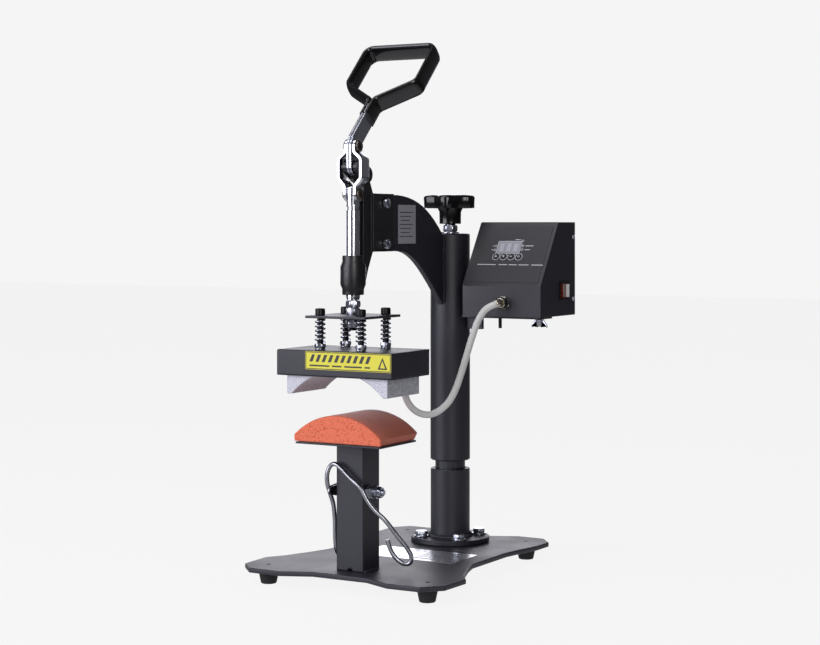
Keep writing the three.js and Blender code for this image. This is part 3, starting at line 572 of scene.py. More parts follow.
def smooth_line(points, per_span=8):
    """A curve through all the points: cubic spans whose end slopes come from the neighbours,
    weighted by the square roots of the distances between the points."""
    p = np.asarray(points, float)
    p = np.concatenate([[2 * p[0] - p[1]], p, [2 * p[-1] - p[-2]]])
    step = np.sqrt(np.linalg.norm(np.diff(p, axis=0), axis=1))[:, None]
    before, span, after = step[:-2], step[1:-1], step[2:]
    a, b, c, d = p[:-3], p[1:-2], p[2:-1], p[3:]
    out = ((b - a) / before - (c - a) / (before + span) + (c - b) / span) * span
    into = ((c - b) / span - (d - b) / (span + after) + (d - c) / after) * span
    t = np.linspace(0, 1, per_span, endpoint=False)[None, :, None]
    h = (2 * t**3 - 3 * t**2 + 1, t**3 - 2 * t**2 + t, 3 * t**2 - 2 * t**3, t**3 - t**2)
    b, c, out, into = (value[:, None] for value in (b, c, out, into))
    line = (h[0] * b + h[1] * out + h[2] * c + h[3] * into).reshape(-1, 3)
    return np.concatenate([line, p[-2:-1]])


def carried_frames(line):
    """Unit tangents of a line, with a normal carried along it by the least turn at each station."""
    tangent = np.gradient(line, axis=0)
    tangent /= np.linalg.norm(tangent, axis=1)[:, None]
    first = np.cross(tangent[0], (0.31, 0.87, 0.39))
    normal = np.empty_like(tangent)
    normal[0] = first / np.linalg.norm(first)
    for i in range(1, len(line)):
        carried = normal[i - 1] - tangent[i] * (normal[i - 1] @ tangent[i])
        normal[i] = carried / np.linalg.norm(carried)
    return tangent, normal, np.cross(tangent, normal)


def tube(line, radius, sides=16):
    """A round section carried along a line, closed by a pole at each end. The radius may change
    from station to station."""
    line = np.asarray(line, float)
    _, normal, side = carried_frames(line)
    angle = np.linspace(0, 2 * math.pi, sides, endpoint=False)[None, :, None]
    reach = np.broadcast_to(np.asarray(radius, float), len(line))[:, None, None]
    ring = line[:, None] + reach * (np.cos(angle) * normal[:, None] + np.sin(angle) * side[:, None])
    return np.concatenate([ring.reshape(-1, 3), line[:1], line[-1:]]), capped(len(line), sides)


def prism(outline, low, high):
    """An outline in X and Y given a height along Z; its two ends are flat faces."""
    flat = np.asarray(outline, float)
    count = len(flat)
    levels = [np.column_stack([flat, np.full(count, value)]) for value in (low, high)]
    around = np.arange(count)
    ahead = (around + 1) % count
    walls = np.stack([around, ahead, count + ahead, count + around], 1).tolist()
    return np.concatenate(levels), [around[::-1].tolist(), (count + around).tolist(), *walls]


def rounded_outline(width, height, radius, steps=6, x=0.0, y=0.0):
    """A rectangle about (x, y) whose corners are quarter circles."""
    quarter = np.linspace(0, math.pi / 2, steps)
    turns = np.concatenate([quarter + i * math.pi / 2 for i in range(4)])
    half = np.array([[1, 1], [-1, 1], [-1, -1], [1, -1]]) * [width / 2 - radius, height / 2 - radius]
    centres = np.repeat(half, steps, axis=0)
    return centres + radius * np.stack([np.cos(turns), np.sin(turns)], 1) + [x, y]


def rounded_line(corners, radii, steps=10):
    """A flat line through corners, each replaced by an arc of its own radius."""
    p = np.asarray(corners, float)
    parts = [p[:1]]
    for before, corner, after, radius in zip(p[:-2], p[1:-1], p[2:], radii):
        a, b = before - corner, after - corner
        a, b = a / np.linalg.norm(a), b / np.linalg.norm(b)
        half = math.acos(float(np.clip(a @ b, -1, 1))) / 2
        centre = corner + (a + b) / np.linalg.norm(a + b) * radius / math.sin(half)
        start, end = corner + a * radius / math.tan(half), corner + b * radius / math.tan(half)
        s = np.linspace(0, 1, steps)[:, None]
        chord = (start - centre) * (1 - s) + (end - centre) * s
        parts.append(centre + radius * chord / np.linalg.norm(chord, axis=1)[:, None])
    return np.concatenate([*parts, p[-1:]])


def thread(radius, pitch, low, high, depth, sides=28):
    """A screw thread: radius less depth times a triangle wave of height / pitch - angle / full turn."""
    angle = np.linspace(0, 2 * math.pi, sides, endpoint=False)[None]
    height = np.arange(low, high, pitch / 6)[:, None]
    wave = np.abs(np.mod(height / pitch - angle / (2 * math.pi), 1) * 2 - 1)
    ring = radius - depth * wave
    grid = np.stack([ring * np.cos(angle), ring * np.sin(angle), height + 0 * ring], -1)
    points = np.concatenate([grid.reshape(-1, 3), [[0, 0, low], [0, 0, height[-1, 0]]]])
    return points, capped(len(grid), sides)


# ---- making pieces --------------------------------------------------------------------------
def make_piece(name, surface, finish_name, body, replaces=(), bevel=0.0, angle=32, flip=False):
    """A new piece in millimetres from the column's foot, riding on a body. Faces whose edge turns
    by less than `angle` degrees are shaded as one."""
    points, faces = surface
    mesh = bpy.data.meshes.new(name)
    mesh.from_pydata(placed(points).tolist(), [], faces)
    return finish_piece(name, mesh, finish_name, body, replaces, bevel, angle, flip)


def finish_piece(name, mesh, finish_name, body, replaces, bevel, angle, flip):
    """Gives a mesh its object, finish, rounded or sharp edges, slot, replaced nodes and body."""
    if flip:
        mesh.flip_normals()
    mesh.validate()
    mesh.materials.append(finish(finish_name))
    piece = bpy.data.objects.new(name, mesh)
    bpy.context.scene.collection.objects.link(piece)
    mesh.shade_smooth()
    if bevel:
        edge = piece.modifiers.new("edge", "BEVEL")
        edge.width = bevel * MM
        edge.segments = 2
        edge.limit_method = "ANGLE"
        edge.angle_limit = math.radians(angle)
        edge.use_clamp_overlap = False
        flat = piece.modifiers.new("flat", "WEIGHTED_NORMAL")
        flat.keep_sharp = False
    else:
        mesh.set_sharp_from_angle(angle=math.radians(angle))
    if replaces:
        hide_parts(*replaces)
    if body:
        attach(piece, body)
    return piece


def refined(node, finish_name, bevel=None, angle=32):
    """A copy of a node's own shape with its doubles merged, its flat faces joined and its edges
    rounded by `bevel` millimetres. It stands for the node."""
    mesh = bpy.data.meshes.new(f"{node}_finished")
    shape = bmesh.new()
    shape.from_mesh(frame["nodes"][node].data)
    bmesh.ops.remove_doubles(shape, verts=shape.verts, dist=2e-6)
    bmesh.ops.dissolve_limit(shape, angle_limit=math.radians(0.6), verts=shape.verts, edges=shape.edges)
    shape.to_mesh(mesh)
    shape.free()
    body = next(name for name, nodes in frame["record"]["behaviour"]["bodies"].items() if node in nodes)
    width = sizes().edge / MM if bevel is None else bevel
    return finish_piece(f"{node}_finished", mesh, finish_name, body, (node,), width, angle, False)


def washer(radius, low, high, edge):
    """Profile of a plain disc whose rims are broken by `edge`."""
    return [(0, low), (radius - edge, low), (radius, low + edge), (radius, high - edge),
            (radius - edge, high), (0, high)]


def hexagon_nut(flats, low, high, bore=0.0):
    """A chamfered hexagon between two heights; a bore above zero sinks its upper face."""
    corner = flats / math.sqrt(3)
    chamfer = 0.12 * flats
    rows = [(0, low), (flats / 2, low), (corner, low + chamfer, 1), (corner, high - chamfer, 1),
            (flats / 2, high)]
    if bore:
        rows += [(bore + 0.6, high), (bore, high - 0.6), (bore, high - 1.4)]
    return [*rows, (0, rows[-1][1])]


def socket_head(radius, low, high, socket):
    """A round screw head with a plain wall and a hexagon socket across `socket` flats."""
    corner = socket / math.sqrt(3)
    depth = 0.6 * (high - low)
    return [(0, low), (radius - 0.3, low), (radius, low + 0.3), (radius, high - 1.2),
            (radius - 0.3, high - 0.5), (radius - 1.1, high), (corner + 0.5, high, 0.5),
            (corner, high - 0.5, 1), (corner, high - depth, 1), (0, high - depth)]


def sheet(width, height, radius, thickness, x=0.0, y=0.0, lift=0.0):
    """A thin rounded sheet in X and Y about (x, y), standing on `lift`."""
    return prism(rounded_outline(width, height, radius, 5, x, y), lift, lift + thickness)


def ring_sheet(outer, inner, thickness, x=0.0, y=0.0, lift=0.0, sides=40):
    """A flat ring about (x, y): four circles of points joined into a closed band."""
    angle = np.linspace(0, 2 * math.pi, sides, endpoint=False)
    rows = [(inner, lift), (outer, lift), (outer, lift + thickness), (inner, lift + thickness)]
    circle = [np.cos(angle), np.sin(angle)]
    points = [np.stack([x + r * circle[0], y + r * circle[1], np.full(sides, h)], 1) for r, h in rows]
    return np.concatenate(points), grid_faces(4, sides, close_rows=True).tolist()


def joined(*surfaces):
    """Several closed surfaces in one mesh."""
    points, faces, start = [], [], 0
    for surface_points, surface_faces in surfaces:
        points.append(surface_points)
        faces += [[start + index for index in face] for face in surface_faces]
        start += len(surface_points)
    return np.concatenate(points), faces


def frame_sheet(width, height, line, thickness, x=0.0, y=0.0, lift=0.0):
    """Four thin strips that make a border inside a rectangle about (x, y)."""
    a, b = width / 2 - line / 2, height / 2 - line / 2
    strips = [(width, line, 0, b), (width, line, 0, -b), (line, height - 2 * line, a, 0),
              (line, height - 2 * line, -a, 0)]
    return joined(*[sheet(w, h, 0.05, thickness, x + u, y + v, lift) for w, h, u, v in strips])


# ---- base -----------------------------------------------------------------------------------
def build_plate():
    refined("base_plate", "powder", 1.4)
    screw = [(0, -1.0), (2.4, -1.0), (2.6, 0.15), (2.2, 0.3), (1.3, 0.25), (1.1, -0.5), (0, -0.5)]
    for name in ("foot_front_left", "foot_front_right", "foot_rear_left", "foot_rear_right"):
        low, high = node_box(name)
        x, y = (low + high)[:2] / 2
        radius, height = (high - low)[0] / 2, high[2] - low[2]
        foot = [(0, 0), (radius - 4.6, 0), (radius - 3.7, 0.8), (radius - 0.8, height - 3.4),
                (radius, height - 2.8), (radius, height - 0.6), (radius - 0.6, height), (0, height)]
        moulding = laid(revolved(foot, 48), moved, x, y, low[2])
        make_piece(f"{name}_moulding", moulding, "rubber", "base", (name,))
        make_piece(f"{name}_screw", laid(revolved(screw, 28), moved, x, y, PLATE_TOP), "oxide", "base")


def weld_ring(radius, height, bead, ripples):
    """A weld bead round a tube: a circle whose section's radius swells with each ripple."""
    angle = np.linspace(0, 2 * math.pi, 6 * ripples)
    line = np.stack([radius * np.cos(angle), radius * np.sin(angle), height + 0 * angle], 1)
    return tube(line, bead * (1 + 0.14 * np.cos(ripples * angle)), 10)


def weld_seam(start, end, bead, ripple=2.4):
    """A straight weld bead between two points, tapering to nothing at its ends."""
    start, end = np.asarray(start, float), np.asarray(end, float)
    length = float(np.linalg.norm(end - start))
    s = np.linspace(0, 1, int(length / ripple * 6))
    swell = np.minimum(1, 6 * np.sqrt(np.clip(s * (1 - s), 0, 1)) + 0.05)
    radius = bead * swell * (1 + 0.14 * np.cos(2 * math.pi * s * length / ripple))
    return tube(start + (end - start) * s[:, None], radius, 10)


def build_column():
    tube_top = node_box("lower_column")[1][2]
    flange, wall, bore = 55.0, 27.5, 21.4
    low = PLATE_TOP + 0.3
    profile = [(0, low), (flange - 1, low), (flange, low + 1), (flange, FLANGE_TOP - 1),
               (flange - 1, FLANGE_TOP), (wall, FLANGE_TOP), (wall, tube_top - 1), (wall - 1, tube_top),
               (bore + 0.6, tube_top), (bore, tube_top - 0.6), (bore, tube_top - 12), (0, tube_top - 12)]
    make_piece("lower_column_turned", revolved(profile), "powder", "base", ("lower_column",))
    make_piece("column_weld", weld_ring(wall + 1, FLANGE_TOP + 0.9, 3.0, 68), "powder", "base")
    for number in (1, 2, 3, 4):
        name = f"flange_bolt_{number}"
        low, high = node_box(name)
        x, y = (low + high)[:2] / 2
        seat = FLANGE_TOP + 0.3
        ring = revolved([(0, low[2]), (5, low[2]), (5, seat), (9.6, seat), (10, seat + 0.4),
                         (10, seat + 1.4), (9.6, seat + 1.8), (0, seat + 1.8)], 48)
        head = revolved(hexagon_nut(16, seat + 1.8, high[2]), 72, phase=0.3 * number - 0.3)
        bolt = laid(joined(ring, head), moved, x, y)
        make_piece(f"{name}_finished", bolt, "zinc", "base", (name,))


def build_post():
    refined("support_post", "powder", 1.6)
    refined("pad_plate", "powder", 0.5)
    low, high = node_box("support_post")
    wall, foot, bead = high[0], PLATE_TOP + 0.6, 2.2
    for side, hand in HANDS:
        seam = weld_seam((side * wall, low[1] + 2, foot), (side * wall, high[1] - 2, foot), bead)
        make_piece(f"post_weld_side_{hand}", seam, "powder", "base")
    seam = weld_seam((-wall + 2, high[1], foot), (wall - 2, high[1], foot), bead)
    make_piece("post_weld_back", seam, "powder", "base")


def pad_top(x, low, high):
    """Height of the pad's arch at x: a circle through its crown and its two top edges."""
    half = high[0]
    radius = (half * half + PAD_RISE * PAD_RISE) / (2 * PAD_RISE)
    return high[2] - radius + np.sqrt(radius**2 - np.asarray(x) ** 2)


def pad_body(low, high):
    """The pad's section carried from front to back. It is drawn in towards its middle at each end,
    so that the edges are round."""
    half, back, front = high[0], high[1], low[1]
    soft = 2.2
    x = half * np.sin(np.linspace(-math.pi / 2, math.pi / 2, 61))
    arch = np.stack([x, pad_top(x, low, high)], 1)
    floor = np.stack([np.linspace(half, -half, 30), np.full(30, low[2])], 1)
    outline = np.concatenate([arch[::-1], floor[::-1][1:-1]])
    inward = np.array([0.0, (low[2] + high[2]) / 2]) - outline
    inward /= np.linalg.norm(inward, axis=1)[:, None]
    stations = [(front + 1.6, soft * 0.6), (front + 2.2, soft * 0.2), (front + 3.4, 0.0)]
    stations += [(y, 0.12 * math.sin(y / 7.0)) for y in np.linspace(front + 10, back - 10, 10)]
    stations += [(back - 2.4, 0.0), (back - 1.0, soft * 0.25), (back - 0.3, soft * 0.6), (back, soft)]
    rings = []
    for y, draw in stations:
        ring = outline + inward * draw
        rings.append(np.stack([ring[:, 0], np.full(len(ring), y), ring[:, 1]], 1))
    return swept(rings)


def pad_cut(low, high):
    """The pad's cut front: a grid over the section, sunk by a round pit exp(-(distance / size)^2)
    at each cell that the knife opened and by a soft edge, and closed by a flat grid behind it."""
    half, front = high[0], low[1]
    rng = np.random.default_rng(7)
    rows, columns = 48, 200
    u = np.linspace(-1, 1, columns)[None] * np.ones((rows, 1))
    v = np.linspace(0, 1, rows)[:, None] * np.ones((1, columns))
    x = u * (half - 0.7)
    z = low[2] + 0.7 + v * (pad_top(x, low, high) - 1.4 - low[2])
    depth = np.zeros_like(x)
    cells = 230
    for px, pz, size in zip(rng.uniform(-half, half, cells), rng.uniform(low[2], high[2], cells),
                            0.7 + 1.1 * rng.random(cells) ** 3):
        depth += 1.5 * size * np.exp(-((x - px) ** 2 + (z - pz) ** 2) / (0.55 * size) ** 2)
    rim = np.minimum(np.minimum(v, 1 - v) * 30, (1 - np.abs(u)) * half)
    depth = np.minimum(depth, 1.5) + 0.8 * np.exp(-np.clip(rim, 0, None) / 0.8)
    outer = np.stack([x, front + depth, z], -1).reshape(-1, 3)
    inner = np.stack([x, front + 3.0 + 0 * x, z], -1).reshape(-1, 3)
    faces = grid_faces(rows, columns, close_columns=False)
    edge = np.concatenate([np.arange(columns), np.arange(2, rows) * columns - 1,
                           np.arange(rows * columns - 1, (rows - 1) * columns - 1, -1),
                           np.arange(rows - 2, 0, -1) * columns])
    behind = rows * columns
    ahead = np.roll(edge, -1)
    walls = np.stack([edge, edge + behind, ahead + behind, ahead], 1)
    faces = [*faces.tolist(), *(faces[:, ::-1] + behind).tolist(), *walls.tolist()]
    return np.concatenate([outer, inner]), faces


def build_pad():
    low, high = node_box("lower_pad")
    body = make_piece("lower_pad_skin", pad_body(low, high), "sponge", "base", ("lower_pad",), angle=40)
    cut = make_piece("lower_pad_cut_front", pad_cut(low, high), "sponge_cut", "base", angle=60)


def build_bail():
    rod = sizes().rod / MM / 2
    line = smooth_line(BAIL_LINE, 8)
    make_piece("bail_rod", tube(line, rod, 20), "rod", "bail", ("hold_down_bail",), angle=50)
    for side, hand in HANDS:
        # The eye: a plate round the bolt and round the rod's end, which lies ahead of it.
        angle = np.linspace(0, 2 * math.pi, 36, endpoint=False)
        at_rod = np.cos(angle - math.atan2(1.0, -25.0)) > 0.0
        reach = np.where(at_rod, 5.0, 9.0)
        centre = np.where(at_rod[:, None], [[-272.0, 121.0]], [[BOLT_Y, BOLT_Z]])
        outline = centre + reach[:, None] * np.stack([np.cos(angle), np.sin(angle)], 1)
        eye = prism(outline, *sorted((side * 24.9, side * 27.4)))
        make_piece(f"bail_eye_{hand}", laid(eye, along_x), "rod", "bail", bevel=0.4)
        # The torsion spring: a coil round the bolt, whose end leaves as a leg under the rod.
        turn = np.linspace(0, 2.25 * 2 * math.pi, 70)
        coil = np.stack([side * (21.5 + 2.6 * turn / turn[-1]), BOLT_Y + 7 * np.cos(turn),
                         BOLT_Z + 7 * np.sin(turn)], 1)
        leg = np.array([[side * 24.3, BOLT_Y - 8, BOLT_Z + 9], [side * 25.5, BOLT_Y - 18, BOLT_Z + 8],
                        [side * 28, BOLT_Y - 27, BOLT_Z + 6]])
        wire = np.concatenate([coil, smooth_line(np.concatenate([coil[-1:], leg]), 6)[1:]])
        make_piece(f"bail_spring_{hand}", tube(wire, 0.9, 10), "rod", "bail", angle=50)

    head_end, thread_end = -node_box("bail_bolt")[0][0], node_box("bail_bolt")[1][0]
    seat, outside = 27.6, 29.4
    disc = washer(8.7, seat, outside, 0.3)
    head = joined(revolved(hexagon_nut(13, outside, head_end), phase=0.2), revolved(disc, 48))
    shank = revolved([(0, -outside), (3.9, -outside), (3.9, thread_end - 0.8), (3.2, thread_end),
                      (0, thread_end)], 32)
    bolt = joined(laid(head, along_x, 0, BOLT_Y, BOLT_Z, -1), laid(shank, along_x, 0, BOLT_Y, BOLT_Z))
    make_piece("bail_bolt_finished", bolt, "zinc", "base", ("bail_bolt",))
    nut = joined(revolved(hexagon_nut(13, outside, outside + 6.7, 4.0), phase=0.5), revolved(disc, 48))
    make_piece("bail_nut_finished", laid(nut, along_x, 0, BOLT_Y, BOLT_Z), "zinc", "base", ("bail_nut",))


# ---- swinging head --------------------------------------------------------------------------
def build_head():
    low, high = node_box("swing_sleeve")
    wall, bore = 27.75, 24.0
    profile = [(0, low[2] + 10), (bore, low[2] + 10), (bore, low[2]), (wall - 1.5, low[2]),
               (wall, low[2] + 1.5), (wall, high[2] - 1.5), (wall - 1.5, high[2]), (bore + 0.5, high[2]),
               (bore, high[2] - 0.5), (bore, high[2] - 6), (0, high[2] - 6)]
    make_piece("swing_sleeve_turned", revolved(profile, 96), "powder", "swing", ("swing_sleeve",))
    refined("arm_plate", "powder", 1.0)
    for side, hand in HANDS:
        seam = weld_seam((side * 5, -28.0, 353), (side * 5, -28.0, high[2] - 2), 2.6)
        make_piece(f"arm_weld_{hand}", seam, "powder", "swing")
    refined("toggle_bracket", "casting", 1.0, angle=40)
    refined("pivot_pin", "zinc", 0.6)
    for level in ("upper", "lower"):
        for side, hand in HANDS:
            node = f"bracket_screw_{level}_{hand}"
            low, high = node_box(node)
            y, z = (low + high)[1:] / 2
            head = revolved(socket_head(6.4, 11.3, 17.8, 5.0), 48)
            shank = revolved([(0, 0.3), (3.9, 0.3), (3.9, 11.4), (0, 11.4)], 24)
            screw = laid(joined(head, shank), along_x, 0, y, z, side)
            make_piece(f"{node}_finished", screw, "zinc", "swing", (node,))


def build_knob():
    top = node_box("star_knob")[1][2]
    radius, lobe, deep = 33.5, 4.3, 19.0

    def star(angle):
        wave = np.cos(5 * angle)
        return 1 + lobe / radius * np.sign(wave) * np.abs(wave) ** 0.75

    bottom = top - deep
    disc = [(0, bottom + 1), (20, bottom + 1, 0.8), (27, bottom, 1), (32.4, bottom, 1),
            (32.8, bottom + 0.5, 1), (radius, top - 4.4, 1), (33.1, top - 2.8, 1), (31.8, top - 1.5, 1),
            (27, top - 0.4, 1), (20, top, 0.6), (10, top, 0), (0, top)]
    hub_low = 463.6
    hub = [(0, hub_low), (14.6, hub_low), (15.5, hub_low + 0.9), (15.5, bottom - 5), (18, bottom + 0.5),
           (0, bottom + 0.5)]
    shape = joined(revolved(disc, 200, form=star), revolved(hub))
    make_piece("star_knob_moulding", shape, "knob", "knob", ("star_knob",), angle=38)
    make_piece("knob_stud", thread(7.8, 2.0, 440, hub_low + 1, 1.1), "zinc", "knob")
    low, high = (corner[2] for corner in node_box("knob_nut"))
    disc_top = low + 1.9
    disc = revolved(washer(13, low, disc_top, 0.4), 48)
    nut = revolved(hexagon_nut(18, disc_top, high, 8.2), phase=0.35)
    make_piece("knob_nut_finished", joined(disc, nut), "zinc", "knob", ("knob_nut",))


# ---- clamp ----------------------------------------------------------------------------------
LINK_HALF, LINK_THICK = 9.6, 4.0
LINK_BOW = ((4.1, 575), (4.1, 555.5), (14.6, 547), (14.6, 521.6), (5.6, 512.1), (5.6, 489.6))


def link_bar(side):
    """A flat bar bowed sideways: its middle line is x(z), and its half width at height z is the
    round of radius LINK_HALF about each pin, and LINK_HALF between the pins."""
    bow = rounded_line(LINK_BOW, (5, 6, 6, 5), 10)
    a = np.linspace(math.pi / 2, 0, 12)
    straight = np.linspace(LINK_PIN_Z - 0.8, PLUNGER_Z + 0.8, 70)
    z = np.concatenate([LINK_PIN_Z + LINK_HALF * np.sin(a), straight,
                        PLUNGER_Z - LINK_HALF * np.sin(a[::-1])])
    past = np.maximum(np.maximum(z - LINK_PIN_Z, PLUNGER_Z - z), 0)
    width = np.sqrt(np.maximum(LINK_HALF**2 - past**2, 0.04))
    x = np.interp(-z, -bow[:, 1], bow[:, 0]) + LINK_THICK / 2
    slope = np.gradient(x, z)
    normal = np.stack([np.ones_like(x), -slope], 1) / np.sqrt(1 + slope**2)[:, None]
    section = rounded_outline(LINK_THICK, 2.0, 0.55, 4)
    off = section[None, :, 0] * np.ones((len(z), 1))
    ring_x = side * (x[:, None] + off * normal[:, :1])
    ring_z = z[:, None] + off * normal[:, 1:]
    core = np.clip(section[:, 1], -0.45, 0.45) / 0.45
    ring_y = RAM_Y + width[:, None] * core[None] * 0.96 + (section[None, :, 1] - 0.45 * core[None]) * 0.6
    return swept(np.stack([ring_x, ring_y, ring_z], -1))


def socket_bolt_end(radius, low, high, side, z):
    """The socket head of a bolt that lies across the links."""
    return laid(revolved(socket_head(radius, low, high, 5.5), 48), along_x, 0, RAM_Y, z, side)


def build_links():
    for side, hand in HANDS:
        make_piece(f"link_{hand}_bar", link_bar(side), "chrome", "links", (f"link_{hand}",), flip=side > 0)
        bolt = socket_bolt_end(7.2, 9.5, 12.6, side, PLUNGER_Z)
        make_piece(f"link_{hand}_bolt", bolt, "worn", "links")
    shank = laid(revolved([(0, -9), (5, -9), (5, 9), (0, 9)], 32), along_x, 0, RAM_Y, LINK_PIN_Z)
    heads = [socket_bolt_end(7.2, 8.0, 11.2, side, LINK_PIN_Z) for side, _ in HANDS]
    make_piece("link_pin_finished", joined(shank, *heads), "worn", "handle", ("link_pin",))


HANDLE_LEAN = math.radians(45)
HANDLE_OFFSET = 2.0
LOOP_CORNERS = ((-3.1, 49), (-3.1, 78), (-52.7, 111), (-52.7, 183.7), (52.7, 183.7), (52.7, 111), (3.1, 78),
                (3.1, 49))


def up_handle(points):
    """From (across the machine, up the handle, off its plane) to places in the machine."""
    u, v, w = np.asarray(points, float).T
    w = w + HANDLE_OFFSET
    c, s = math.cos(HANDLE_LEAN), math.sin(HANDLE_LEAN)
    return np.stack([u, RAM_Y + v * c - w * s, LINK_PIN_Z + v * s + w * c], 1)


def band(line, section):
    """A section (off the line in its plane, off the plane) carried along a flat line."""
    tangent = np.gradient(line, axis=0)
    tangent /= np.linalg.norm(tangent, axis=1)[:, None]
    normal = np.stack([-tangent[:, 1], tangent[:, 0]], 1)
    flat = line[:, None] + section[None, :, :1] * normal[:, None]
    off = np.broadcast_to(section[None, :, 1:], (*flat.shape[:2], 1))
    return swept(np.concatenate([flat, off], -1))


def build_handle():
    refined("handle_bar", "zinc", 0.7)
    line = rounded_line(LOOP_CORNERS, (9, 12, 11, 11, 12, 9), 14)
    step = np.concatenate([[0], np.cumsum(np.linalg.norm(np.diff(line, axis=0), axis=1))])
    even = np.linspace(0, step[-1], 260)
    line = np.stack([np.interp(even, step, line[:, i]) for i in (0, 1)], 1)
    turn = np.linspace(0, 2 * math.pi, 40, endpoint=False)
    c, s = np.cos(turn), np.sin(turn)
    section = np.stack([4.6 * np.sign(c) * np.abs(c) ** 0.9, 13 * np.sign(s) * np.abs(s) ** 0.85], 1)
    loop = laid(band(line, section), up_handle)
    make_piece("handle_loop_dipped", loop, "vinyl", "handle", ("handle_grip",), angle=60)


def build_ram():
    low, high = node_box("ram_rod")
    radius, neck, tang = 9.0, 7.7, 5.2

    def flat_sided(angle):
        return np.minimum(1, tang / radius / np.maximum(np.abs(np.cos(angle)), 1e-3))

    groove = 482.0
    shape = [(0, 366), (8.25, 366), (8.25, 368), (radius, 369), (radius, groove - 1), (neck, groove),
             (neck, groove + 3), (radius, groove + 4), (radius, 487.9), (radius, 488, 1),
             (radius, high[2] - 1.2, 1), (radius - 1.2, high[2], 1), (0, high[2])]
    rod = laid(revolved(shape, 96, form=flat_sided), moved, 0, RAM_Y)
    make_piece("ram_rod_turned", rod, "chrome", "ram", ("ram_rod",))
    end = laid(thread(6.0, 1.75, low[2], 367, 0.9), moved, 0, RAM_Y)
    make_piece("ram_thread", end, "turned", "ram")
    nuts = ((347.1, 356.1, 0.2, ("ram_nut_pair",)), (356.4, 365.3, 0.65, ()), (331, 340.5, 0.4, ()))
    for number, (start, end, turn, stands_for) in enumerate(nuts, 1):
        nut = laid(revolved(hexagon_nut(17, start, end, 6.2), phase=turn), moved, 0, RAM_Y)
        make_piece(f"ram_nut_{number}", nut, "zinc", "ram", stands_for)
    refined("pressure_plate", "powder", 0.6)


def build_springs():
    wire, turns = sizes().spring_wire / MM / 2, sizes().spring_turns
    low, high, radius = 312.4, 342.1, 5.9
    angle = np.linspace(0, 2 * math.pi * turns, int(28 * turns))
    for number in (1, 2, 3, 4):
        corner_low, corner_high = node_box(f"platen_spring_{number}")
        x, y = (corner_low + corner_high)[:2] / 2
        line = np.stack([x + radius * np.cos(angle), y + radius * np.sin(angle),
                         np.linspace(low, high, len(angle))], 1)
        coil = make_piece(f"platen_coil_{number}", tube(line, wire, 12), "zinc", None,
                          (f"platen_spring_{number}",), angle=50)
        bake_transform(coil)
        seat = revolved(washer(7, 303.3, 304.9, 0.5), 40)
        nut = revolved(hexagon_nut(13, 304.9, 311.0, 4.2), phase=0.4 * number)
        make_piece(f"spring_nut_{number}", laid(joined(seat, nut), moved, x, y), "zinc", "platen")
        head = revolved(socket_head(6.4, 347.1, 355.7, 6.0), 48)
        shank = revolved([(0, 277), (3.9, 277), (3.9, 347.2), (0, 347.2)], 24)
        bolt = laid(joined(head, shank), moved, x, y)
        make_piece(f"spring_bolt_{number}_finished", bolt, "oxide", "platen", (f"spring_bolt_{number}",))


def build_platen():
    refined("heater_block", "aluminium", 1.0)
    refined("platen_housing", "powder", 2.0)


# ---- printing -------------------------------------------------------------------------------
def print_on(name, lay, body, prints):
    """Thin printed shapes, each (finish, surface), laid by a function on a face of the press."""
    for number, (ink, surface) in enumerate(prints, 1):
        make_piece(f"{name}_{number}", laid(surface, lay), ink, body)


def build_labels():
    front = node_box("platen_housing")[0][1]

    def on_housing(points):
        return along_y(points, 21.7, front, 290.5)

    width, height = 126.6, 23.0
    stripes = [prism([(x, -1.6), (x + 4.6, -1.6), (x + 8.6, 7.6), (x + 4.0, 7.6)], 0.25, 0.35)
               for x in np.arange(-57, 30, 9.2)]
    bars = [sheet(w, 2.0, 0.2, 0.1, x, -6.4, 0.25) for w, x in ((30, -42), (14, -16), (26, 8), (8, 29))]
    triangle = prism([(44, -8), (58, -8), (51, 7)], 0.25, 0.35)
    middle = prism([(47.2, -6.2), (54.8, -6.2), (51, 2.8)], 0.35, 0.45)
    print_on("hazard_label", on_housing, "platen", [
        ("yellow", sheet(width, height, 1.2, 0.2, lift=0.05)),
        ("black_print", frame_sheet(width - 1.2, height - 1.2, 0.9, 0.1, lift=0.25)),
        ("black_print", joined(*bars, *stripes)),
        ("black_print", triangle),
        ("yellow", middle)])

    def on_arm(points):
        return along_x(points, node_box("arm_plate")[1][0], -128.5, 463)

    lines = []
    for i in range(7):
        inset = i % 3
        lines.append(sheet(36 - 6 * inset, 1.0, 0.1, 0.08, -2 - 1.5 * inset, 16 - 5.4 * i, 0.22))
    print_on("arm_label", on_arm, "swing", [
        ("grey_label", sheet(47, 52, 1.0, 0.17, lift=0.05)), ("black_print", joined(*lines))])

    def on_plate(points):
        return moved(points, 14, -119.5, PLATE_TOP)

    rows = ((56, 5, 34, 22), (50, 3, 32, 13), (54, 3, 34, 5), (46, 3, 30, -3), (52, 3, 33, -11),
            (40, 5, 28, -22))
    blocks = [sheet(w, h, 0.4, 0.08, x, y, 0.22) for w, h, x, y in rows]
    print_on("base_label", on_plate, "base", [
        ("silver", sheet(148, 71, 2.0, 0.17, lift=0.05)), ("silver_print", joined(*blocks))])


# ---- control box ----------------------------------------------------------------------------
BOX_MIDDLE = (BOX_LOW[0] + BOX_HIGH[0]) / 2
SLOPE = math.atan2(BOX_HIGH[2] - KNEE[1], KNEE[0] - BOX_LOW[1])
PANEL_FACE = 0.45
KEY_HEIGHT = 47.5  # up the slope
FIRST_KEY, KEY_PITCH = -20.6, 11.6


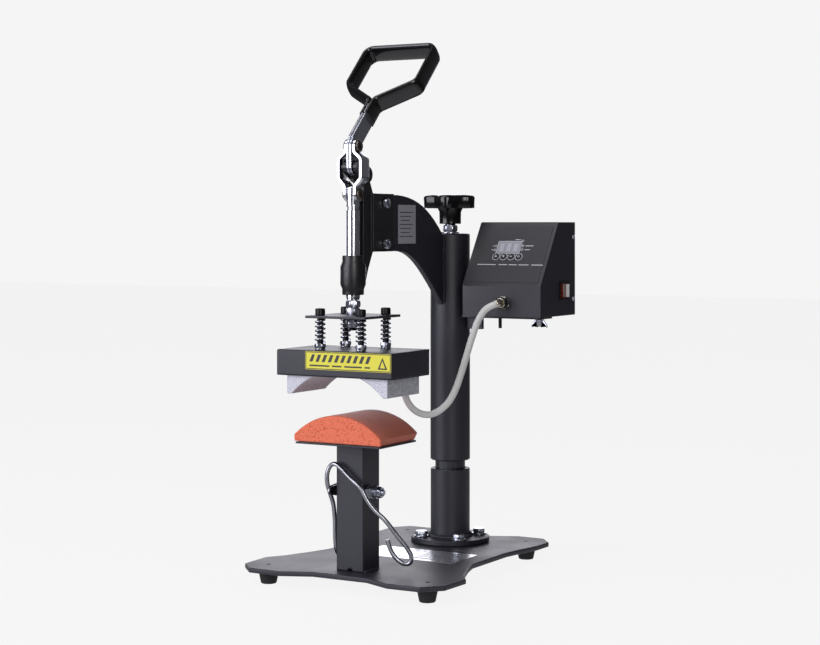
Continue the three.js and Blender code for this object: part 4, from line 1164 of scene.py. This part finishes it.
def on_slope(points):
    """From (across, up the slope, off it) to places in the machine."""
    u, s, lift = np.asarray(points, float).T
    c, n = math.cos(SLOPE), math.sin(SLOPE)
    return np.stack([BOX_MIDDLE + u, BOX_LOW[1] + s * c - lift * n, KNEE[1] + s * n + lift * c], 1)


def build_box():
    refined("box_shell", "powder", 1.2)
    refined("box_cover", "powder", 1.0)
    refined("box_bracket", "powder", 0.6)
    refined("power_inlet", "dull", 0.5)
    profile = [(0, -5.5), (5.9, -5.5), (5.9, 0.3), (8.4, 0.3), (9, 0.9, 1), (9, 4.4, 1), (8.4, 5),
               (7.2, 5.1), (7.2, 5.7), (7.6, 6.1), (7.6, 10.4), (6.6, 12), (4.9, 12), (4.7, 11), (0, 11)]
    gland = laid(revolved(profile, 72), along_y, *GLAND)
    make_piece("box_gland_finished", gland, "nickel", "swing", ("box_gland",))
    seal = revolved([(0, 5.3), (7.9, 5.3), (8.1, 5.6), (8.1, 10.6), (7.8, 10.9), (0, 10.9)], 48)
    make_piece("box_gland_seal", laid(seal, along_y, *GLAND), "knob", "swing")
    ferrule = smooth_line(CABLE_LINE, 8)[1:13]
    reach = np.full(len(ferrule), 5.7)
    reach[[0, -1]] = 5.2
    make_piece("cable_ferrule", tube(ferrule, reach, 24), "nickel", "swing", angle=50)
    pan = [(0, -0.4), (3.2, -0.4), (3.4, 0.3), (2.9, 1.4), (1.6, 1.9), (1.1, 1.4), (0, 1.4)]
    for z in (446, 360):
        for side, hand in HANDS:
            wall = BOX_HIGH[0] if side > 0 else -BOX_LOW[0]
            screw = laid(laid(revolved(pan, 28), moved, 0, 0, wall), along_x, 0, 63.5, z, side)
            make_piece(f"cover_screw_{hand}_{z}", screw, "zinc", "swing")
    for name, x, low in (("shelf_screw_tip", 85, 320), ("shelf_screw_right", SHELF_SCREW[0], 324)):
        screw = laid(thread(2.6, 1.0, low, 333.7, 0.5, 24), moved, x, SHELF_SCREW[1])
        make_piece(name, screw, "turned", "swing")
    hub = revolved([(0, 325), (3.6, 325), (4.2, 325.6), (5.2, 332.6), (4.8, 333.2), (0, 333.2)], 32)
    wings = []
    for side, _ in HANDS:
        outline = [(side * 3, 1), (side * 3.6, 6.5), (side * 11, -3), (side * 12.4, -1), (side * 6, 9)]
        wings.append(laid(prism(outline[::-side], -1.1, 1.1), along_y, 0, 0, 325))
    nut = laid(joined(hub, *wings), moved, *SHELF_SCREW)
    make_piece("shelf_wing_nut", nut, "zinc", "swing", bevel=0.4)


def build_panel():
    overlay = laid(sheet(108, 92, 2.5, PANEL_FACE - 0.05, 0, 52, 0.05), on_slope)
    make_piece("control_panel_overlay", overlay, "overlay", "swing", ("control_panel",))
    middle, across, height = -4.8, 35.0, 18.8
    window = sheet(across, height, 0.6, 0.5, middle, 62.6, PANEL_FACE - 0.1)
    border = frame_sheet(across + 1.6, height + 1.6, 0.6, 0.12, middle, 62.6, PANEL_FACE)
    rings = [ring_sheet(1.8, 1.2, 0.12, x, s, PANEL_FACE) for x, s in
             ((-25.6, 58.4), (-25.6, 64.7), (16, 59), (16, 65.3), (13.5, 73.4))]
    key_rings = [ring_sheet(5.6, 4.95, 0.12, FIRST_KEY + KEY_PITCH * i, KEY_HEIGHT, PANEL_FACE)
                 for i in range(4)]
    dashes = [sheet(w, 1.1, 0.2, 0.12, x, s, PANEL_FACE) for w, x, s in
              ((28.6, -31.8, 34.5), (17, 45.5, 34.5), (13, -6.5, 34.5), (12, 8.5, 34.5), (15, 25, 34.5),
               (12, 26, 65.3), (8, 24, 59), (8, 6, 75.2), (1.6, -29.4, 58.4), (1.6, -29.4, 64.7))]
    segments = [sheet(6.4, 12.5, 0.8, 0.08, middle - 10.5 + 10.5 * i, 62.4, PANEL_FACE + 0.41)
                for i in range(3)]
    print_on("panel_print", on_slope, "swing", [
        ("window", window), ("ink", border), ("ink", joined(*rings, *key_rings, *dashes)),
        ("segment", joined(*segments))])


def key_glyph(kind, x):
    """The mark on a key: a triangle, a bar or a square ring."""
    low, high = 1.62, 1.78
    if kind == "up":
        corners = [(x - 1.8, KEY_HEIGHT - 1.2), (x + 1.8, KEY_HEIGHT - 1.2), (x, KEY_HEIGHT + 1.8)]
        return prism(corners, low, high)
    if kind == "down":
        corners = [(x + 1.8, KEY_HEIGHT + 1.2), (x - 1.8, KEY_HEIGHT + 1.2), (x, KEY_HEIGHT - 1.8)]
        return prism(corners, low, high)
    if kind == "bar":
        return sheet(3.6, 0.9, 0.2, high - low, x, KEY_HEIGHT, low)
    return ring_sheet(1.9, 1.2, high - low, x, KEY_HEIGHT, low, 4)


def build_keys():
    cap = [(0, -1.5), (4.0, -1.5), (4.2, -1.2), (4.2, 0.9), (3.7, 1.5), (2.8, 1.7), (0, 1.62)]
    for number, (node, kind) in enumerate(KEYS.items()):
        x = FIRST_KEY + KEY_PITCH * number
        shape = laid(laid(revolved(cap, 36), moved, x, KEY_HEIGHT), on_slope)
        make_piece(f"{node}_cap", shape, "overlay", node, (node,), angle=45)
        make_piece(f"{node}_glyph", laid(key_glyph(kind, x), on_slope), "ink", node)


def build_rocker():
    refined("rocker_switch", "rocker", 0.5)
    low, high = node_box("rocker_switch")
    y, z = 33.0, (low[2] + high[2]) / 2
    bezel = laid(frame_sheet(30, 26, 2.4, 1.4, lift=0.05), along_x, BOX_HIGH[0], y, z)
    make_piece("rocker_bezel", bezel, "knob", "swing", bevel=0.4)
    # The white strip along the rocker's raised rear edge is a painted highlight: it stands for the light
    # that this edge catches.
    inside, outside = BOX_HIGH[0] - 1, high[0] + 0.15
    start, end = high[1] - 4.0, high[1] - 1.2
    strip = prism([(inside, start), (outside, start), (outside, end), (inside, end)], low[2] + 1,
                  high[2] - 1)
    make_piece("rocker_painted_highlight", strip, "white", "rocker", bevel=0.2)


# ---- cable ----------------------------------------------------------------------------------
def build_cable():
    radius = sizes().cable / MM / 2
    line = smooth_line(CABLE_LINE, 8)
    sides = 24
    cable = make_piece("heater_cable_sleeve", tube(line, radius, sides), "sleeve", None,
                       ("heater_cable",), angle=60)
    steps = np.linalg.norm(np.diff(line, axis=0), axis=1)
    along = np.concatenate([[0], np.cumsum(steps)])
    # The sleeve's map, in millimetres: along the cable and round it. A face across the seam goes on.
    around = np.arange(sides) / sides * 2 * math.pi * radius
    flat = np.stack(np.broadcast_arrays(along[:, None], around[None]), -1).reshape(-1, 2)
    flat = np.concatenate([flat, [[0, 0], [along[-1], 0]]])
    mesh = cable.data
    corners = np.empty(len(mesh.loops), int)
    mesh.loops.foreach_get("vertex_index", corners)
    spread_out = flat[corners]
    quads = 4 * (len(line) - 1) * sides
    turns = spread_out[:quads, 1].reshape(-1, 4)
    late = turns.max(axis=1, keepdims=True) - turns > math.pi * radius
    spread_out[:quads, 1] = (turns + late * 2 * math.pi * radius).ravel()
    mesh.uv_layers.new(name="UVMap").data.foreach_set("uv", spread_out.ravel())

    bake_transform(cable)
    collar = [(0, 0.3), (5.3, 0.3), (5.6, 0.6), (5.6, 5), (5.1, 5.5), (4.6, 5.5), (4.6, 4), (0, 4)]
    block_back = node_box("heater_block")[1][1]
    ring = laid(laid(revolved(collar, 40), backwards), moved, 39.5, block_back, 271.4)
    make_piece("cable_collar", ring, "aluminium", "platen")


# ---- frame's own nodes ----------------------------------------------------------------------
def build_node_finishes():
    by_slot = {slot: name for name, slot in SLOTS.items()}
    by_slot.update(bright_steel="turned", silicone_sponge="sponge", key_plastic="dull")
    for node in frame["nodes"].values():
        for holder in node.material_slots:
            name = by_slot[holder.material.name.split(".")[0]]
            holder.link = "OBJECT"
            holder.material = finish(name)


# ---- stage ----------------------------------------------------------------------------------
CAMERA = (1219.0, -2224.5, 462.0)  # at the level of the toggle clamp, right of the operator
CAMERA_TURN = math.radians(30)
PAPER = "#f5f5f5"


def build_camera():
    data = bpy.data.cameras.new("camera")
    data.lens = 79.16
    data.sensor_width = 36.0
    data.shift_y = -0.1189
    data.clip_end = 50
    camera = bpy.data.objects.new("camera", data)
    camera.location = placed(CAMERA)
    camera.rotation_euler = (math.radians(90), 0, CAMERA_TURN)
    bpy.context.scene.collection.objects.link(camera)
    bpy.context.scene.camera = camera


def softbox(name, place, aim, width, height, power, tint="#ffffff"):
    """A rectangular area light at a place, in metres, that faces another place."""
    light = bpy.data.lights.new(name, "AREA")
    light.shape = "RECTANGLE"
    light.size, light.size_y = width, height
    light.energy = power
    light.color = linear(tint)
    lamp = bpy.data.objects.new(name, light)
    away = np.asarray(place, float) - np.asarray(aim, float)
    flat = math.hypot(away[0], away[1])
    lamp.location = place
    lamp.rotation_euler = (math.atan2(flat, away[2]), 0, math.atan2(away[0], -away[1]))
    bpy.context.scene.collection.objects.link(lamp)


def build_world():
    """The camera sees plain paper. Everything else sees a dim room with a bright far side, which
    gives the metals their white edges."""
    world = bpy.data.worlds.new("studio")
    bpy.context.scene.world = world
    world.use_nodes = True
    tree = world.node_tree
    tree.nodes.clear()
    output = add(tree, "ShaderNodeOutputWorld")
    paper = add(tree, "ShaderNodeBackground", {"Color": (*linear(PAPER), 1), "Strength": 1.0})
    way = add(tree, "ShaderNodeTexCoord").outputs["Generated"]
    far_side = (-0.5, 0.866, 0.0)
    toward = add(tree, "ShaderNodeVectorMath", {0: way, 1: far_side}, operation="DOT_PRODUCT")
    inputs = {"Value": toward.outputs["Value"], "From Min": 0.78, "From Max": 0.99, "To Min": 0.1,
              "To Max": 2.8}
    lobe = add(tree, "ShaderNodeMapRange", inputs).outputs["Result"]
    room = add(tree, "ShaderNodeBackground", {"Color": (0.93, 0.93, 1.0, 1), "Strength": lobe})
    seen = add(tree, "ShaderNodeLightPath").outputs["Is Camera Ray"]
    mix = add(tree, "ShaderNodeMixShader", {0: seen, 1: room.outputs[0], 2: paper.outputs[0]})
    tree.links.new(mix.outputs[0], output.inputs["Surface"])


def build_stage():
    """A paper floor that the camera sees evenly lit, and three soft lights."""
    scene = bpy.context.scene
    scene.view_settings.view_transform = "Standard"
    build_world()
    reach = 9.0
    mesh = bpy.data.meshes.new("floor")
    mesh.from_pydata([(-reach, -reach, 0), (reach, -reach, 0), (reach, reach, 0), (-reach, reach, 0)], [],
                     [(0, 1, 2, 3)])
    material = bpy.data.materials.new("studio_paper")
    material.use_nodes = True
    tree = material.node_tree
    tree.nodes.clear()
    place = add(tree, "ShaderNodeTexCoord").outputs["Object"]
    away = add(tree, "ShaderNodeVectorMath", {0: place}, operation="LENGTH").outputs["Value"]
    inputs = {"Value": away, "From Min": 0.5, "From Max": 1.6, "To Min": 0.62, "To Max": 0.05}
    bounce = add(tree, "ShaderNodeMapRange", inputs).outputs["Result"]
    matt = add(tree, "ShaderNodeEmission", {"Color": (0.95, 0.95, 1, 1), "Strength": bounce})
    shade = add(tree, "ShaderNodeBsdfDiffuse", {"Color": (0.05, 0.05, 0.05, 1)})
    glow = add(tree, "ShaderNodeEmission", {"Color": (*linear(PAPER), 1), "Strength": 0.965})
    pale = add(tree, "ShaderNodeAddShader", {0: shade.outputs[0], 1: glow.outputs[0]})
    seen = add(tree, "ShaderNodeLightPath").outputs["Is Camera Ray"]
    mix = add(tree, "ShaderNodeMixShader", {0: seen, 1: matt.outputs[0], 2: pale.outputs[0]})
    output = add(tree, "ShaderNodeOutputMaterial")
    tree.links.new(mix.outputs[0], output.inputs["Surface"])
    mesh.materials.append(material)
    floor = bpy.data.objects.new("floor", mesh)
    scene.collection.objects.link(floor)
    softbox("key", (-1.55, -2.6, 0.85), (0, -0.1, 0.35), 2.5, 2.1, 78, "#f4f4ff")
    softbox("fill", (1.9, -2.3, 1.0), (0, -0.1, 0.3), 1.2, 1.2, 26)
    softbox("top", (-0.5, -0.9, 2.4), (0, -0.1, 0.3), 1.6, 1.4, 22)


# ---- add-on ---------------------------------------------------------------------------------
class PRESS_OT_camera(bpy.types.Operator):
    """Adds the camera"""
    bl_idname = "press.camera"
    bl_label = "Camera"

    def execute(self, context):
        build_camera()
        return {"FINISHED"}


class PRESS_OT_cable(bpy.types.Operator):
    """Adds the sleeved cable from the box to the platen"""
    bl_idname = "press.cable"
    bl_label = "Heater cable"

    def execute(self, context):
        build_cable()
        return {"FINISHED"}


class PRESS_OT_nodes(bpy.types.Operator):
    """Gives every node of the frame its finish"""
    bl_idname = "press.nodes"
    bl_label = "Node finishes"

    def execute(self, context):
        build_node_finishes()
        return {"FINISHED"}


class PRESS_OT_plate(bpy.types.Operator):
    """Finishes the plate and its feet"""
    bl_idname = "press.plate"
    bl_label = "Base plate"

    def execute(self, context):
        build_plate()
        return {"FINISHED"}


class PRESS_OT_column(bpy.types.Operator):
    """Finishes the column and its bolts"""
    bl_idname = "press.column"
    bl_label = "Column"

    def execute(self, context):
        build_column()
        return {"FINISHED"}


class PRESS_OT_post(bpy.types.Operator):
    """Finishes the post under the pad"""
    bl_idname = "press.post"
    bl_label = "Post"

    def execute(self, context):
        build_post()
        return {"FINISHED"}


class PRESS_OT_pad(bpy.types.Operator):
    """Adds the sponge pad"""
    bl_idname = "press.pad"
    bl_label = "Pad"

    def execute(self, context):
        build_pad()
        return {"FINISHED"}


class PRESS_OT_bail(bpy.types.Operator):
    """Adds the cap hold-down and its bolt"""
    bl_idname = "press.bail"
    bl_label = "Hold-down"

    def execute(self, context):
        build_bail()
        return {"FINISHED"}


class PRESS_OT_head(bpy.types.Operator):
    """Finishes the swinging head and its casting"""
    bl_idname = "press.head"
    bl_label = "Head"

    def execute(self, context):
        build_head()
        return {"FINISHED"}


class PRESS_OT_knob(bpy.types.Operator):
    """Adds the star knob"""
    bl_idname = "press.knob"
    bl_label = "Knob"

    def execute(self, context):
        build_knob()
        return {"FINISHED"}


class PRESS_OT_links(bpy.types.Operator):
    """Adds the toggle links and their bolts"""
    bl_idname = "press.links"
    bl_label = "Links"

    def execute(self, context):
        build_links()
        return {"FINISHED"}


class PRESS_OT_handle(bpy.types.Operator):
    """Adds the dipped handle"""
    bl_idname = "press.handle"
    bl_label = "Handle"

    def execute(self, context):
        build_handle()
        return {"FINISHED"}


class PRESS_OT_ram(bpy.types.Operator):
    """Adds the plunger and its nuts"""
    bl_idname = "press.ram"
    bl_label = "Ram"

    def execute(self, context):
        build_ram()
        return {"FINISHED"}


class PRESS_OT_springs(bpy.types.Operator):
    """Adds the platen's springs and bolts"""
    bl_idname = "press.springs"
    bl_label = "Springs"

    def execute(self, context):
        build_springs()
        return {"FINISHED"}


class PRESS_OT_platen(bpy.types.Operator):
    """Finishes the heater block and its housing"""
    bl_idname = "press.platen"
    bl_label = "Platen"

    def execute(self, context):
        build_platen()
        return {"FINISHED"}


class PRESS_OT_labels(bpy.types.Operator):
    """Adds the labels"""
    bl_idname = "press.labels"
    bl_label = "Labels"

    def execute(self, context):
        build_labels()
        return {"FINISHED"}


class PRESS_OT_box(bpy.types.Operator):
    """Finishes the control box"""
    bl_idname = "press.box"
    bl_label = "Control box"

    def execute(self, context):
        build_box()
        return {"FINISHED"}


class PRESS_OT_panel(bpy.types.Operator):
    """Adds the printing and the display"""
    bl_idname = "press.panel"
    bl_label = "Panel"

    def execute(self, context):
        build_panel()
        return {"FINISHED"}


class PRESS_OT_keys(bpy.types.Operator):
    """Adds the keys"""
    bl_idname = "press.keys"
    bl_label = "Keys"

    def execute(self, context):
        build_keys()
        return {"FINISHED"}


class PRESS_OT_rocker(bpy.types.Operator):
    """Adds the rocker and its bezel"""
    bl_idname = "press.rocker"
    bl_label = "Mains switch"

    def execute(self, context):
        build_rocker()
        return {"FINISHED"}


class PRESS_OT_stage(bpy.types.Operator):
    """Adds the floor and the lights"""
    bl_idname = "press.stage"
    bl_label = "Stage"

    def execute(self, context):
        build_stage()
        return {"FINISHED"}


OPERATORS = (
    PRESS_OT_camera, PRESS_OT_cable, PRESS_OT_nodes, PRESS_OT_plate, PRESS_OT_column, PRESS_OT_post,
    PRESS_OT_pad, PRESS_OT_bail, PRESS_OT_head, PRESS_OT_knob, PRESS_OT_links, PRESS_OT_handle,
    PRESS_OT_ram, PRESS_OT_springs, PRESS_OT_platen, PRESS_OT_labels, PRESS_OT_box, PRESS_OT_panel,
    PRESS_OT_keys, PRESS_OT_rocker, PRESS_OT_stage,
)


class PRESS_PT_finish(bpy.types.Panel):
    """Lists the steps, colours and sizes of the finish"""
    bl_idname = "PRESS_PT_finish"
    bl_label = "Cap press finish"
    bl_space_type = "VIEW_3D"
    bl_region_type = "UI"
    bl_category = "Press"

    def draw(self, context):
        for group in (context.scene.press_colours, context.scene.press_sizes):
            for name in group.bl_rna.properties.keys():
                if name not in {"rna_type", "name"}:
                    self.layout.prop(group, name)
        for operator in OPERATORS:
            self.layout.operator(operator.bl_idname)


CLASSES = (PressColours, PressSizes, *OPERATORS, PRESS_PT_finish)


def register():
    for kind in CLASSES:
        bpy.utils.register_class(kind)
    bpy.types.Scene.press_colours = PointerProperty(type=PressColours)
    bpy.types.Scene.press_sizes = PointerProperty(type=PressSizes)


def unregister():
    del bpy.types.Scene.press_sizes
    del bpy.types.Scene.press_colours
    for kind in reversed(CLASSES):
        bpy.utils.unregister_class(kind)


def main():
    register()
    for operator in OPERATORS:
        space, name = operator.bl_idname.split(".")
        getattr(getattr(bpy.ops, space), name)()


if __name__ == "__main__":
    main()
